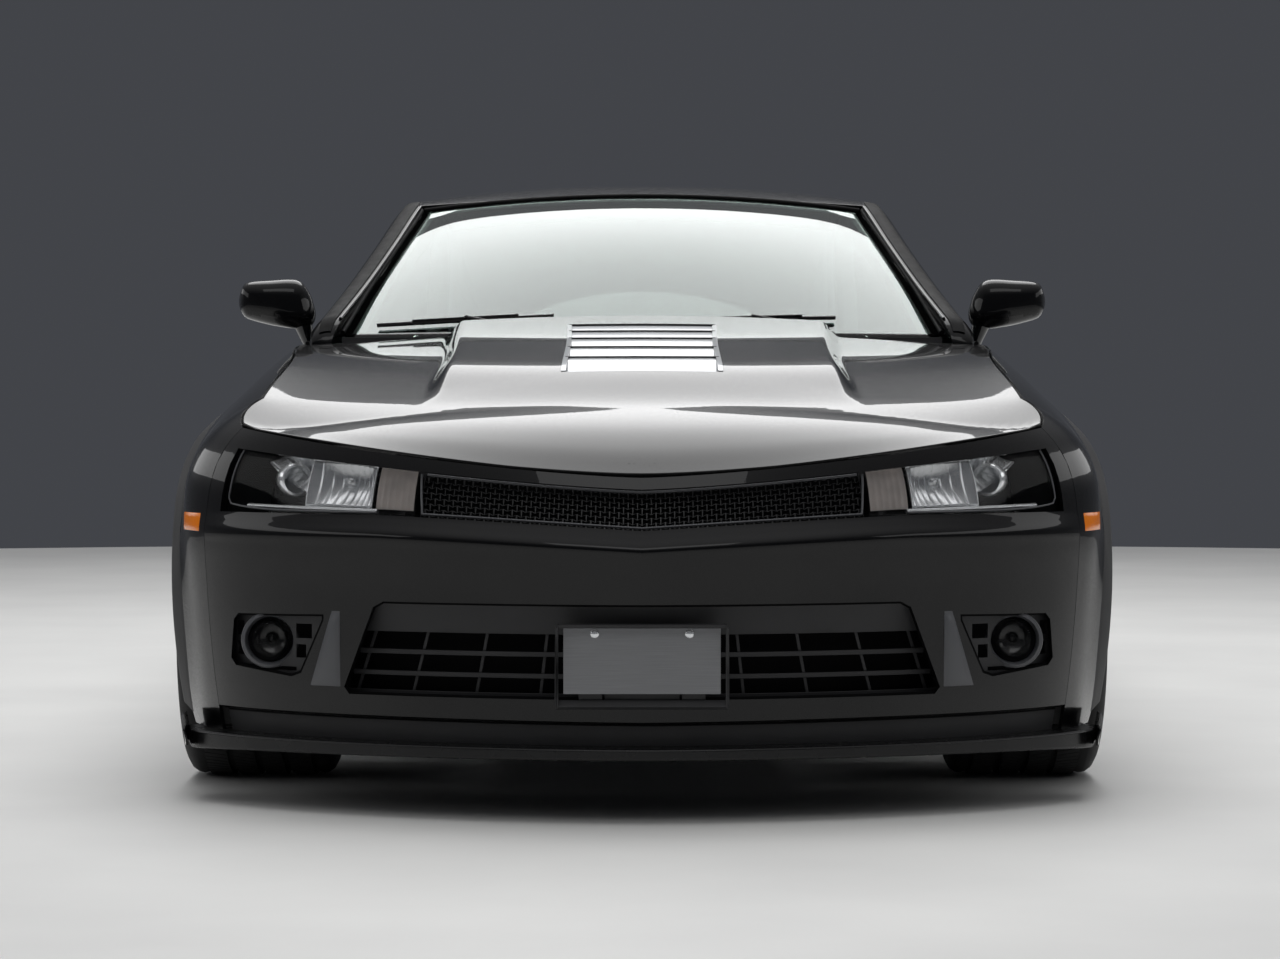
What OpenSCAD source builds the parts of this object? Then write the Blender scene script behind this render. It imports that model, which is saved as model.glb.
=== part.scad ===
// Two-door muscle coupe: unibody shell in separate panels, hinged doors, bonnet and boot lid,
// steered front knuckles and four free-turning wheels. The nose points to -Y and +Z is up.

/* [Overall size] */
// Length from the splitter lip to the tail
body_l = 4884; // [4780:1:4980]
// Width over the wheel-arch flares
body_w = 1953; // [1900:1:2000]
// Height of the roof above the road
body_h = 1331; // [1300:1:1370]
// Distance between the axles
wheelbase = 2852; // [2800:1:2900]
// Front axle back from the splitter lip
front_overhang = 965; // [940:1:990]

/* [Wheels] */
// Outside diameter of the tyre
tyre_d = 666; // [640:1:680]
// Width of the tyre
tyre_w = 305; // [265:1:315]
// Diameter of the rim at the tyre bead
rim_d = 490; // [460:1:510]
// Distance between the front tyres' centres
track_f = 1576; // [1560:1:1580]
// Distance between the rear tyres' centres
track_r = 1640; // [1600:1:1644]
// Number of twin spokes
spoke_pairs = 5; // [4:1:7]
// Diameter of the brake disc
disc_d = 390; // [340:1:400]
// Radius of the wheel-arch openings
arch_r = 380; // [375:1:395]

/* [Body panels] */
// Shut gap round doors and lids
gap = 6; // [5:0.5:8]
// Thickness of the wings
skin = 8; // [6:0.5:8]
// Height of the sill's top face
sill_top = 300; // [280:1:315]
// Length of the doors
door_l = 1320; // [1280:1:1340]
// Door front edge behind the front axle
dash_to_axle = 797; // [780:1:815]
// Height of the front splitter's top face
splitter_top = 140; // [135:1:155]
// Thickness of the splitter plate
splitter_t = 36; // [18:1:40]

/* [Glass] */
// Thickness of the windows
glass_t = 6; // [4:0.5:8]

/* [Hidden] */
$fn = 48;
half_w = body_w / 2;
nose_y = -body_l / 2;
tail_y = body_l / 2;
axle_f = nose_y + front_overhang;
axle_r = axle_f + wheelbase;
hub_z = tyre_d / 2;
door_f = axle_f + dash_to_axle;
door_r = door_f + door_l;

// Where the plan shape starts to close towards the nose and the tail
nose_e = axle_f - arch_r - 3;
tail_e = axle_r + arch_r + 5;
// Planes where the bumper skins meet the wings
joint_f = nose_e - 150;
joint_r = tail_e + 130;
// Roundness of the plan shape at the nose and the tail
nose_n = 1.7;
tail_n = 4;
// Height of the widest line of the side, and of the lowest panel edges
mid_z = 520;
low_z = 190;
rear_low = 300;
// How sharply the side rolls over into the shoulder
shoulder_p = 3.5;
// How far the arch flares stand out, and over what width they fade
flare_out = [27, 26];
flare_fade = 95;

// Side sections, front to rear. Columns: place, then how far the widest line, the lower edge and
// the shoulder edge lie inside the overall half width, then the height of the shoulder edge
sides = [
    [joint_f, 62, 85, 215, 730],
    [nose_e, 62, 85, 215, 786],
    [axle_f, 58, 72, 236, 862],
    [axle_f + 400, 56, 62, 210, 893],
    [door_f, 50, 50, 192, 908],
    [mix(door_f, door_r, 0.5), 54, 50, 180, 918],
    [door_r, 46, 50, 180, 932],
    [axle_r - 300, 26, 50, 200, 948],
    [axle_r, 24, 60, 240, 956],
    [tail_e, 36, 80, 290, 955],
    [tail_y, 60, 100, 310, 945]
];

function mix(a, b, t) = a + (b - a) * t;
function ease(t) = let (c = max(0, min(1, t))) c * c * (3 - 2 * c);
// Row of a table whose span holds a place
function span_at(table, p, i = 0) =
    i >= len(table) - 2 || p < table[i + 1][0] ? i : span_at(table, p, i + 1);
// Slope of one column at a row, taken between its neighbours
function slope_at(table, c, i) =
    let (a = max(i - 1, 0), b = min(i + 1, len(table) - 1))
    (table[b][c] - table[a][c]) / (table[b][0] - table[a][0]);
// Smooth curve through one column of a table, held level past its ends
function curve(table, c, p) =
    let (i = span_at(table, p), a = table[i], b = table[i + 1], h = b[0] - a[0],
         t = max(0, min(1, (p - a[0]) / h)), s = 1 - t)
    a[c] * (1 + 2 * t) * s * s + b[c] * t * t * (3 - 2 * t)
    + h * (slope_at(table, c, i) * t * s * s - slope_at(table, c, i + 1) * t * t * s);

function shoulder_z(y) = curve(sides, 4, y);
function shoulder_x(y) = half_w - curve(sides, 3, y);
// Half width of the plain side at one place and height
function plain_x(y, z) =
    let (mid = half_w - curve(sides, 1, y), low = half_w - curve(sides, 2, y))
    z > mid_z
    ? mid - (mid - shoulder_x(y)) * pow((z - mid_z) / (shoulder_z(y) - mid_z), shoulder_p)
    : mid - (mid - low) * pow((mid_z - z) / (mid_z - low_z), 2);
// Flare that stands out round one arch and fades away from it
function flare_at(y, z, axle, out) =
    let (r = norm([y - axle, z - hub_z]))
    out * pow(max(0, 1 - max(0, r - arch_r) / flare_fade), 2);
function flare(y, z) =
    flare_at(y, z, axle_f, flare_out[0]) + flare_at(y, z, axle_r, flare_out[1]);

// Set-back of the nose from the splitter lip. Columns: share of the bumper's height, set-back
nose_profile = [
    [0, 57], [0.18, 50], [0.4, 44], [0.56, 36], [0.7, 22], [0.75, 18], [0.79, 34], [0.82, 46], [1, 85]
];
// Set-back of the tail from the rearmost point. Columns: share of the bumper's height, set-back
tail_profile = [
    [0, 86], [0.15, 38], [0.35, 4], [0.5, 0], [0.6, 8], [0.66, 34], [0.8, 42], [1, 60]
];
lip_z = 640;
nose_top = 730;
tail_top = 935;
// Share of the height at the lamp band's lower edge, and that edge's height at centre and joint
band_t = 0.82;
band_z = [548, 568];
function nose_len(t) = nose_e - nose_y - curve(nose_profile, 1, t);
function tail_len(t) = tail_y - tail_e - curve(tail_profile, 1, t);
// Share of full width left at a distance past the start of the nose or tail
function closing(d, l, n) = pow(max(0, 1 - pow(max(0, d) / l, n)), 1 / n);

// Half width of the whole body side, nose and tail included
function side_x(y, z) =
    flare(y, z) + (
    y < nose_e
    ? plain_x(nose_e, z) * closing(nose_e - y, nose_len(nose_t(z)), nose_n)
    : y > tail_e
    ? plain_x(tail_e, z) * closing(y - tail_e, tail_len((z - rear_low) / (tail_top - rear_low)), tail_n)
    : plain_x(y, z));

// Point of the nose. s is the share of the way round to the joint, t the share of the height
function nose_z(s, t) =
    let (b = mix(band_z[0], band_z[1], s * s))
    t < band_t
    ? mix(splitter_top, b, t / band_t)
    : mix(b, mix(lip_z, nose_top, s * s), (t - band_t) / (1 - band_t));
// Share of the height for a height at the joint
function nose_t(z) =
    z < band_z[1]
    ? band_t * (z - splitter_top) / (band_z[1] - splitter_top)
    : band_t + (1 - band_t) * (z - band_z[1]) / (nose_top - band_z[1]);
function nose_point(s, t, inset = 0) =
    let (z = nose_z(s, t), a = plain_x(nose_e, z) - inset, b = nose_len(t) - inset,
         f = closing(nose_e - joint_f, b, nose_n) * abs(s))
    [sign(s) * f * a, nose_e - b * closing(f, 1, nose_n), z];
// Point of the tail, built the same way
function tail_z(s, t) = mix(rear_low, tail_top, t);
function tail_point(s, t, inset = 0) =
    let (z = tail_z(s, t), a = plain_x(tail_e, z) - inset, b = tail_len(t) - inset,
         f = closing(joint_r - tail_e, b, tail_n) * abs(s))
    [sign(s) * f * a, tail_e + b * closing(f, 1, tail_n), z];

// Solid between an outer and an inner grid. Rows crossed with columns point outwards.
// Cells that the test names are left open, with walls round them
module slab(outer, inner, open = function (i, j) false) {
    rows = len(outer) - 1;
    cols = len(outer[0]) - 1;
    n = (rows + 1) * (cols + 1);
    function id(i, j) = i * (cols + 1) + j;
    function quad(a, b, c, d) = [[a, b, c], [a, c, d]];
    function void(i, j) = i < 0 || j < 0 || i >= rows || j >= cols || open(i, j);
    faces = [
        for (i = [0:rows - 1], j = [0:cols - 1]) if (!void(i, j))
            let (a = id(i, j), b = id(i, j + 1), c = id(i + 1, j + 1), d = id(i + 1, j))
            each concat(
                quad(a, b, c, d), quad(n + a, n + d, n + c, n + b),
                void(i - 1, j) ? quad(b, a, n + a, n + b) : [],
                void(i + 1, j) ? quad(d, c, n + c, n + d) : [],
                void(i, j - 1) ? quad(a, d, n + d, n + a) : [],
                void(i, j + 1) ? quad(c, b, n + b, n + c) : [])
    ];
    polyhedron(concat([for (r = outer) each r], [for (r = inner) each r]), faces, convexity = 8);
}
// One shell from several solids
module welded() minkowski() { union() children(); }
module both_sides() {
    children();
    mirror([1, 0, 0]) children();
}

// Grids that the nose and tail pieces share. Shares run from the centre out, and upwards
nose_half = [0, 0.08, 0.2, 0.35, 0.5, 0.63, 0.75, 0.85, 0.93, 0.965, 1];
nose_s = concat([for (i = [10:-1:1]) -nose_half[i]], nose_half);
nose_ts = [0, 0.09, 0.18, 0.29, 0.4, 0.48, 0.56, 0.64, 0.7, 0.75, 0.79, 0.82, 0.96, 1];
tail_half = [0, 0.2, 0.4, 0.6, 0.75, 0.85, 0.91, 0.95, 0.975, 0.99, 1];
tail_s = concat([for (i = [10:-1:1]) tail_half[i]], [for (v = tail_half) -v]);
tail_ts = [0, 0.08, 0.15, 0.25, 0.35, 0.5, 0.6, 0.66, 0.69, 0.87, 0.93, 1];
// Point on the facets of the nose or tail at a place counted in rows and columns
function nose_at(u, v, inset) =
    let (i = min(floor(u), len(nose_s) - 2), j = min(floor(v), len(nose_ts) - 2))
    mix(mix(nose_point(nose_s[i], nose_ts[j], inset), nose_point(nose_s[i + 1], nose_ts[j], inset), u - i),
        mix(nose_point(nose_s[i], nose_ts[j + 1], inset), nose_point(nose_s[i + 1], nose_ts[j + 1], inset), u - i),
        v - j);
function tail_at(u, v, inset) =
    let (i = min(floor(u), len(tail_s) - 2), j = min(floor(v), len(tail_ts) - 2))
    mix(mix(tail_point(tail_s[i], tail_ts[j], inset), tail_point(tail_s[i + 1], tail_ts[j], inset), u - i),
        mix(tail_point(tail_s[i], tail_ts[j + 1], inset), tail_point(tail_s[i + 1], tail_ts[j + 1], inset), u - i),
        v - j);
// Grid over lists of rows and columns
function nose_grid(us, vs, inset) = [for (u = us) [for (v = vs) nose_at(u, v, inset)]];
function tail_grid(us, vs, inset) = [for (u = us) [for (v = vs) tail_at(u, v, inset)]];

// Thickness of the bumper skins, and the clearance of what sits behind them
bumper_t = 12;
behind = bumper_t + 0.6;
// Lower intake: how far its top and bottom corners lie inside the half width, and the heights of both
intake = [473.5, 407.5, 405, 227];
intake_x = [half_w - intake[0], half_w - intake[1]];
// Corners of the fog lamp opening: how far inside the half width, height
fog_corners = [[358.5, 372], [204.5, 368], [198.5, 266], [321.5, 254]];

module front_fascia() {
    color("#0b0b0d") welded() difference() {
        slab(nose_grid([0:20], [0:13], 0), nose_grid([0:20], [0:13], bumper_t),
             function (i, j) j == 11 && i >= 1 && i <= 18);
        translate([0, nose_e, 0]) rotate([90, 0, 0]) linear_extrude(1000)
            polygon([[intake_x[0], intake[2]], [intake_x[1], intake[3]], [-intake_x[1], intake[3]], [-intake_x[0], intake[2]]]);
        both_sides() translate([0, nose_e, 0]) rotate([90, 0, 0]) linear_extrude(1000)
            polygon([for (c = fog_corners) [half_w - c[0], c[1]]]);
    }
}

module splitter() {
    lip = [for (s = nose_half) nose_point(s, 0, -nose_profile[0][1])];
    rear = joint_f + 118;
    edge = lip[10][0] + 18;
    pts = concat([for (p = lip) [p[0], p[1]]], [[edge, rear]]);
    color("#17181a") translate([0, 0, splitter_top - splitter_t]) linear_extrude(splitter_t)
        polygon(concat(pts, [for (i = [len(pts) - 1:-1:1]) [-pts[i][0], pts[i][1]]]));
}

// Places of the upper grille's bars, counted in rows of the nose grid
module upper_grille() {
    us = [for (k = [0:24]) 10 - 4.1 + 8.2 * k / 24];
    vs = [10.6, 11.06, 11.22, 11.38, 11.46, 11.62, 11.7, 11.86, 11.95, 12.15];
    color("#101113") slab(nose_grid(us, vs, behind + 0.5), nose_grid(us, vs, behind + 14),
        function (i, j) j % 2 == 1 && i > 0 && i < 23 && i % 3 != 0);
}

module lower_grille() {
    us = [for (k = [0:28]) 10 - 5.5 + 11 * k / 28];
    vs = [1.7, 2.05, 2.5, 2.62, 3.3, 3.42, 4.2, 6.3];
    color("#101113") slab(nose_grid(us, vs, behind + 0.8), nose_grid(us, vs, behind + 16),
        function (i, j) j % 2 == 1 && i > 0 && i < 27 && i % 3 != 0);
}

module headlamps() {
    us = [14.15, 15, 16, 17, 18, 19.3];
    vs = [10.7, 11, 12, 12.15];
    rear = [10.7, 11, 11.6, 11.7];
    color("#d9dde2") both_sides() slab(nose_grid(us, vs, behind), nose_grid(us, rear, 70));
}

module fog_lamps() {
    us = [15.6, 16, 17, 18, 18.7];
    vs = [1.9, 2, 3, 4, 5];
    color("#1b1c1f") both_sides() {
        slab(nose_grid(us, vs, behind), nose_grid(us, vs, behind + 22));
    }
}

module number_plate() {
    plate = [310, 7, 154];
    at = [nose_y + 30, 294];
    us = [9.1, 9.5, 10, 10.5, 10.9];
    vs = [1.3, 1.8];
    face = at[0] + plate[1];
    foot = nose_grid(us, vs, -0.5);
    color("#8d9196") {
        translate([-plate[0] / 2, at[0], at[1] - plate[2] / 2]) cube(plate);
        slab([for (r = foot) [for (p = r) [p[0], face - 2, p[2]]]], foot);
    }
}

// Rows of a wing from its front plane, round its arch, to its rear plane
function wing_rows(front, rear, axle) =
    concat([for (k = [0:2]) mix(front, axle - arch_r, k / 2)],
           [for (a = [6:12:174]) axle - arch_r * cos(a)],
           [for (k = [0:2]) mix(axle + arch_r, rear, k / 2)]);
function wing_foot(y, axle, ahead, past) =
    abs(y - axle) < arch_r - 0.01 ? hub_z + sqrt(arch_r * arch_r - (y - axle) * (y - axle))
    : y < axle ? ahead : past;
wing_ts = [0, 0.14, 0.28, 0.42, 0.54, 0.65, 0.75, 0.83, 0.9, 0.955, 1];
// Point of the side skin and the point under it, offset square to the skin
function side_point(y, z) = [side_x(y, z), y, z];
function side_under(y, z, t) =
    let (d = (side_x(y, z) - side_x(y, z - 2)) / 2, l = norm([1, d]))
    [side_x(y, z) - t / l, y, z + t * d / l];

module fender() {
    rows = wing_rows(joint_f, door_f - gap / 2, axle_f);
    grid = [for (y = rows) let (b = wing_foot(y, axle_f, splitter_top, sill_top))
        [for (t = wing_ts) mix(b, shoulder_z(y), t)]];
    slab([for (i = [0:len(rows) - 1]) [for (z = grid[i]) side_point(rows[i], z)]],
         [for (i = [0:len(rows) - 1]) [for (k = [0:10]) let (z = grid[i][k])
            k == 0 ? side_point(rows[i], z) - [skin, 0, 0]
            : k == 10 ? side_point(rows[i], z) - [0, 0, skin + 2] : side_under(rows[i], z, skin)]]);
}
module fenders() color("#0b0b0d") both_sides() fender();

// Bonnet. Columns: distance behind its front edge, height gained on the centre line
bonnet_rise = [
    [0, 0], [67, 46], [157, 88], [280, 122], [500, 168], [880, 226], [1260, 270], [1500, 296]
];
bonnet_u = [0, 0.11, 0.21, 0.32, 0.43, 0.52, 0.58, 0.7, 0.82, 0.92, 1];
bonnet_us = concat([for (i = [10:-1:1]) -bonnet_u[i]], bonnet_u);
bonnet_vs = [0, 0.03, 0.07, 0.12, 0.18, 0.25, 0.34, 0.44, 0.55, 0.65, 0.75, 0.85, 0.93, 1];
// Height of the raised middle, where it starts, and its share of the half width
dome_h = 36;
dome_from = 300;
// Flat underside near the hinges
bonnet_flat = 868;
function edge_x(y) = side_x(y, shoulder_z(y)) - flare(y, shoulder_z(y));
function bonnet_front(u) = nose_point(u, 1)[1] + bumper_t + gap;
function bonnet_rear(u) = door_f - mix(190, 88, u * u);
function bonnet_y(u, v) = mix(bonnet_front(u), bonnet_rear(u), v);
function bonnet_x(u, y) = u * (edge_x(max(y, joint_f)) - gap);
function bonnet_z(u, y) =
    let (d = y - bonnet_front(u))
    nose_z(u, 1) + 2
    + mix(curve(bonnet_rise, 1, d), shoulder_z(y) - nose_top, pow(abs(u), 2.2))
    + dome_h * ease((d - dome_from) / 260) * ease((0.58 - abs(u)) / 0.06);
function bonnet_under(z) = max(z - 88, min(z - 16, bonnet_flat));

module hood() {
    outer = [for (u = bonnet_us) [for (v = bonnet_vs)
        let (y = bonnet_y(u, v)) [bonnet_x(u, y), y, bonnet_z(u, y)]]];
    color("#0b0b0d") slab(outer,
        [for (r = outer) [for (p = r) [p[0], p[1], bonnet_under(p[2])]]],
        function (i, j) i >= 8 && i <= 11 && j >= 6 && j <= 10);
}

// Louvred vent set in the bonnet's opening
module hood_vent() {
    us = [8.005, 9, 10, 11, 11.995];
    function top(u, v) =
        let (i = min(floor(u), 19), s = mix(bonnet_us[i], bonnet_us[i + 1], u - i), y = bonnet_y(s, v))
        [bonnet_x(s, y), y, bonnet_z(s, y)];
    slats = 5;
    a = bonnet_vs[6];
    b = bonnet_vs[11];
    color("#b9bcc0") for (k = [0:slats - 1]) {
        v0 = mix(a, b, (k + 0.02) / slats);
        v1 = mix(a, b, (k + 0.9) / slats);
        outer = [for (u = us) [for (v = [v0, v1]) top(u, v) - [0, 0, v == v0 ? 30 : 2]]];
        slab(outer, [for (r = outer) [for (p = r) p - [0, 0, 7]]]);
    }
}

// Foot of the screen pillar, and the height of the glasshouse from there to the roof
rail_foot = 947;
house_h = body_h - rail_foot;
// Cant rail from the screen pillar's foot to the tail. Columns: place, how far it lies inside the
// overall half width, share of the glasshouse's height
rail = [
    [door_f, 224.5, 0],
    [door_f + 260, 274.5, 0.245],
    [door_f + 520, 324.5, 0.516],
    [door_f + 800, 370.5, 0.792],
    [door_f + 1000, 384.5, 0.852],
    [door_r - 100, 392.5, 0.859],
    [door_r + 160, 400.5, 0.807],
    [door_r + 400, 396.5, 0.651],
    [axle_r + 165, 364.5, 0.0885]
];
function rail_x(y) = half_w - curve(rail, 1, y);
function rail_z(y) = rail_foot + house_h * curve(rail, 2, y);
// Windscreen, roof and rear window in one skin. Shares run across and from front to rear
screen_base = 925;
screen_y = [door_f - 122, door_f + 745];
screen_edge_y = [door_f + 16, door_f + 790];
// Share of the glasshouse's height at the screen's upper edge
screen_share = 0.885;
screen_z = [screen_base, rail_foot + house_h * screen_share];
function screen_point(u, v, drop = 0) =
    let (ye = mix(screen_edge_y[0], screen_edge_y[1], v), xe = rail_x(ye) - 62,
         ze = mix(screen_base, rail_z(screen_edge_y[1]) + 4, v)
              + 14 * sin(180 * v),
         y = mix(mix(screen_y[0], screen_y[1], v), ye, u * u),
         z = mix(mix(screen_z[0], screen_z[1], v) + 42 * sin(180 * v), ze, u * u))
    [u * xe, y + (v == 0 ? drop * 1.6 : drop * 0.35), v == 0 ? z : z - drop];
side_us = [-1, -0.85, -0.65, -0.4, -0.15, 0.15, 0.4, 0.65, 0.85, 1];
screen_vs = [0, 0.1, 0.22, 0.36, 0.5, 0.64, 0.78, 0.9, 1];

module windshield() {
    color("#22282c") slab(
        [for (u = side_us) [for (v = screen_vs) screen_point(u, v)]],
        [for (u = side_us) [for (v = screen_vs) screen_point(u, v, glass_t)]]);
}

// Cowl under the screen's lower edge
module cowl() {
    us = [for (k = [-8:8]) k / 8];
    w = rail_x(door_f) - 62;
    front = [for (u = us) [u * w, bonnet_rear(u * w / (w + 70)) + 58 + 34 * u * u]];
    back = [for (u = us) let (p = screen_point(u, 0)) [u * w, p[1] + 34]];
    color("#141517") translate([0, 0, bonnet_flat + 2]) linear_extrude(screen_base - bonnet_flat - 2)
        polygon(concat(front, [for (i = [16:-1:0]) back[i]]));
}

// Roof skin. Columns: place, share of the glasshouse's height on the centre line
roof_line = [
    [screen_y[1], screen_share],
    [door_f + 950, 0.974],
    [door_f + 1130, 1],
    [door_r + 60, 0.984],
    [door_r + 260, 0.896]
];
function roof_z(y) = rail_foot + house_h * curve(roof_line, 1, y);
roof_f = screen_y[1] + 12;
roof_r = door_r + 260;
function roof_point(u, v) =
    let (y = mix(mix(roof_f, screen_edge_y[1] + 12, u * u), roof_r, v),
         x = u * (rail_x(y) - 20), c = roof_z(y - 47 * u * u * (1 - v)))
    [x, y, mix(c, rail_z(y) + 14, pow(abs(u), 2.4))];
// Section of the cant rail seen from the front, round its line
rail_section = [[-24, -26], [-50, -12], [-54, 14], [-26, 19], [0, 12], [13, -8], [12, -26]];
function rail_ring(y) = [for (p = rail_section) [rail_x(y) + p[0], y, rail_z(y) + p[1]]];
// Tube through a list of rings
module tube(rings) {
    n = len(rings[0]);
    m = len(rings);
    polyhedron([for (r = rings) each r], concat(
        [[for (k = [0:n - 1]) k]], [[for (k = [n - 1:-1:0]) (m - 1) * n + k]],
        [for (i = [0:m - 2], k = [0:n - 1]) let (l = (k + 1) % n)
            each [[i * n + k, (i + 1) * n + k, (i + 1) * n + l], [i * n + k, (i + 1) * n + l, i * n + l]]]),
        convexity = 6);
}
module roof() {
    rail_ys = concat([for (k = [0:6]) mix(door_f + 10, screen_edge_y[1], k / 6)],
                     [for (k = [1:6]) mix(screen_edge_y[1], roof_r, k / 6)]);
    us = [-1, -0.92, -0.78, -0.55, -0.28, 0, 0.28, 0.55, 0.78, 0.92, 1];
    vs = [0, 0.08, 0.2, 0.35, 0.5, 0.65, 0.8, 0.92, 1];
    outer = [for (u = us) [for (v = vs) roof_point(u, v)]];
    color("#0b0b0d") welded() {
        slab(outer, [for (r = outer) [for (p = r) p - [0, 0, 26]]]);
        both_sides() {
            tube([for (y = rail_ys) rail_ring(y)]);
            translate([rail_x(door_f) - 54, door_f - 4, pillar_top]) cube([44, 34, 46]);
        }
    }
}

// Doors. Inner face, and how far the outer skin runs past the box at the front and rear
door_in = half_w - 216;
door_lap = [75, 42];
hinge_in = 30;
hinge_back = 60;
hinge_x = half_w - curve(sides, 1, door_f) - hinge_in;
hinge_y = door_f + gap / 2 + hinge_back;
door_rows = let (a = door_f + gap / 2, b = door_r - gap / 2) concat(
    [a, a + door_lap[0] / 2, a + door_lap[0]],
    [for (k = [0:7]) mix(a + door_lap[0] + 1, b - door_lap[1] - 1, k / 7)],
    [b - door_lap[1], b]);
module door() {
    zs = [for (y = door_rows) [for (t = wing_ts) mix(sill_top + gap, shoulder_z(y), t)]];
    last = len(door_rows) - 1;
    slab([for (i = [0:last]) [for (z = zs[i]) side_point(door_rows[i], z)]],
         [for (i = [0:last]) [for (z = zs[i]) let (y = door_rows[i])
            i < 3 || i > last - 2 ? [side_x(y, z) - skin, y, z] : [door_in, y, z]]]);
}
module door_left() color("#0b0b0d") door();
module door_right() color("#0b0b0d") mirror([1, 0, 0]) door();

// Side windows lean from the belt to the cant rail
glass_in = 14;
function pane_point(y, t, drop, foot) =
    [mix(shoulder_x(y) - glass_in, rail_x(y) - 8, t), y, mix(shoulder_z(y) + foot, rail_z(y) - drop, t)];
module pane(ys, drop, foot) {
    outer = [for (y = ys) [for (t = [0, 0.25, 0.5, 0.75, 1]) pane_point(y, t, drop, foot)]];
    slab(outer, [for (r = outer) [for (p = r) p - [glass_t, 0, 0]]]);
}
module door_glass() pane([for (i = [2:len(door_rows) - 2]) door_rows[i]], 26 + gap, 0.4);
module door_glass_left() color("#22282c") door_glass();
module door_glass_right() color("#22282c") mirror([1, 0, 0]) door_glass();

// Outside mirror on the door's front shoulder
mirror_y = door_f + 150;
mirror_out = half_w - 32.5;
module mirror_arm() {
    foot = [for (x = [-12, -1]) [for (d = [-40, 40]) let (y = mirror_y + d)
        [shoulder_x(y) + x, y, shoulder_z(y) + 0.4]]];
    slab([for (r = foot) [for (p = r) p + [22, 0, 34]]], foot);
}
module mirror_shell() {
    z = 940;
    // Places across the shell. Columns: half width, front, rear, foot, top
    stations = [
        [shoulder_x(mirror_y) + 8, -36, 40, -8, 70],
        [shoulder_x(mirror_y) + 40, -50, 52, -10, 100],
        [shoulder_x(mirror_y) + 95, -56, 56, -6, 110],
        [mirror_out - 14, -44, 50, 8, 104],
        [mirror_out, -26, 36, 30, 86]
    ];
    function ring(s) = [for (a = [0:30:330])
        [s[0], mirror_y + mix(s[1], s[2], 0.5 + 0.5 * sin(a)), z + mix(s[3], s[4], 0.5 + 0.5 * cos(a))]];
    tube([for (s = stations) [for (k = [11:-1:0]) ring(s)[k]]]);
}
module door_mirror() welded() {
    mirror_shell();
    mirror_arm();
}
module mirror_left() color("#0b0b0d") door_mirror();
module mirror_right() color("#0b0b0d") mirror([1, 0, 0]) door_mirror();

// Door hinges: a strap with its pin on the pillar, an eye on the door
hinge_zs = [400, 630];
pin_r = 8;
pin_fit = 0.3;
// Hinge pillar: its heights, then its faces, narrower above the step so that the door swings clear
pillar_step = 760;
pillar_top = 905;
pillar_in = half_w - 282;
pillar_x = half_w - 176;
pillar_neck = half_w - 228;
pillar_y = [door_f - 12, door_f + 70];
module door_straps() {
    both_sides() for (z = hinge_zs) union() {
        translate([pillar_x, hinge_y - 8, z - 12]) cube([hinge_x - pillar_x, 16, 24]);
        translate([hinge_x, hinge_y, z - 36]) cylinder(r = pin_r, h = 72);
    }
}
module hinge_eyes() {
    face = door_rows[3] - 1;
    for (z = hinge_zs) difference() {
        union() {
            for (k = [-1, 1]) {
                translate([hinge_x, hinge_y, z + k * 25 - 11]) cylinder(r = pin_r + 5, h = 22);
                translate([hinge_x - 12, hinge_y, z + k * 25 - 11]) cube([24, face - hinge_y, 22]);
            }
        }
        translate([hinge_x, hinge_y, z - 60]) cylinder(r = pin_r + pin_fit, h = 120);
    }
}
module door_eyes_left() color("#2a2b2e") hinge_eyes();
module door_eyes_right() color("#2a2b2e") mirror([1, 0, 0]) hinge_eyes();

// Rear quarter with its sail up to the cant rail
rear_base = 968;
sail_f = door_r + 205;
sail_r = axle_r + 165;
module quarter() {
    rows = wing_rows(door_r + gap / 2, joint_r, axle_r);
    zs = [for (y = rows) let (b = wing_foot(y, axle_r, sill_top, rear_low))
        [for (t = wing_ts) mix(b, shoulder_z(y), t)]];
    sail_ys = [sail_f, roof_r, roof_r + 2, mix(roof_r, sail_r, 0.3), mix(roof_r, sail_r, 0.6), sail_r];
    sail = [for (y = sail_ys) [for (t = [0, 0.3, 0.6, 0.85, 1])
        let (top = rail_z(y) - (y > roof_r ? 6 : 29))
        [mix(shoulder_x(y) - 3, rail_x(y) + 4, pow(t, 1.3)), y, mix(shoulder_z(y) - 6, top, t)]]];
    welded() {
        slab([for (i = [0:len(rows) - 1]) [for (z = zs[i]) side_point(rows[i], z)]],
             [for (i = [0:len(rows) - 1]) [for (k = [0:10]) let (z = zs[i][k])
                k == 0 || k == 10 ? side_point(rows[i], z) - [k == 0 ? skin : 26, 0, 0]
                : side_under(rows[i], z, skin)]]);
        slab(sail, [for (r = sail) [for (p = r) p - [22, 0, 0]]]);
        tube([for (k = [0:4]) rail_ring(mix(roof_r, sail_r, k / 4))]);
    }
}
module quarters() color("#0b0b0d") both_sides() quarter();
module quarter_windows() {
    color("#22282c") both_sides()
        pane([for (k = [0:4]) mix(door_r + gap / 2 + 2, sail_f - 1, k / 4)], 30, 0.4);
}

// Rear window between the sails, standing on the deck
glass_us = [-1, -0.8, -0.5, -0.2, 0.2, 0.5, 0.8, 1];
function rear_point(u, v, drop = 0) =
    let (y = mix(roof_r + 8, sail_r - 2, v), x = rail_x(y) - 60,
         c = mix(roof_z(roof_r), rear_base, v) + 34 * sin(180 * v),
         e = mix(rail_z(roof_r) + 12, rear_base, v) + 14 * sin(180 * v))
    [u * x, y - (v == 1 ? drop * 1.6 : 0), v == 1 ? rear_base : mix(c, e, pow(abs(u), 2.4)) - drop];
module rear_window() {
    vs = [0, 0.15, 0.35, 0.55, 0.75, 0.9, 1];
    color("#22282c") slab([for (u = glass_us) [for (v = vs) rear_point(u, v)]],
                          [for (u = glass_us) [for (v = vs) rear_point(u, v, glass_t)]]);
}
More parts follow.
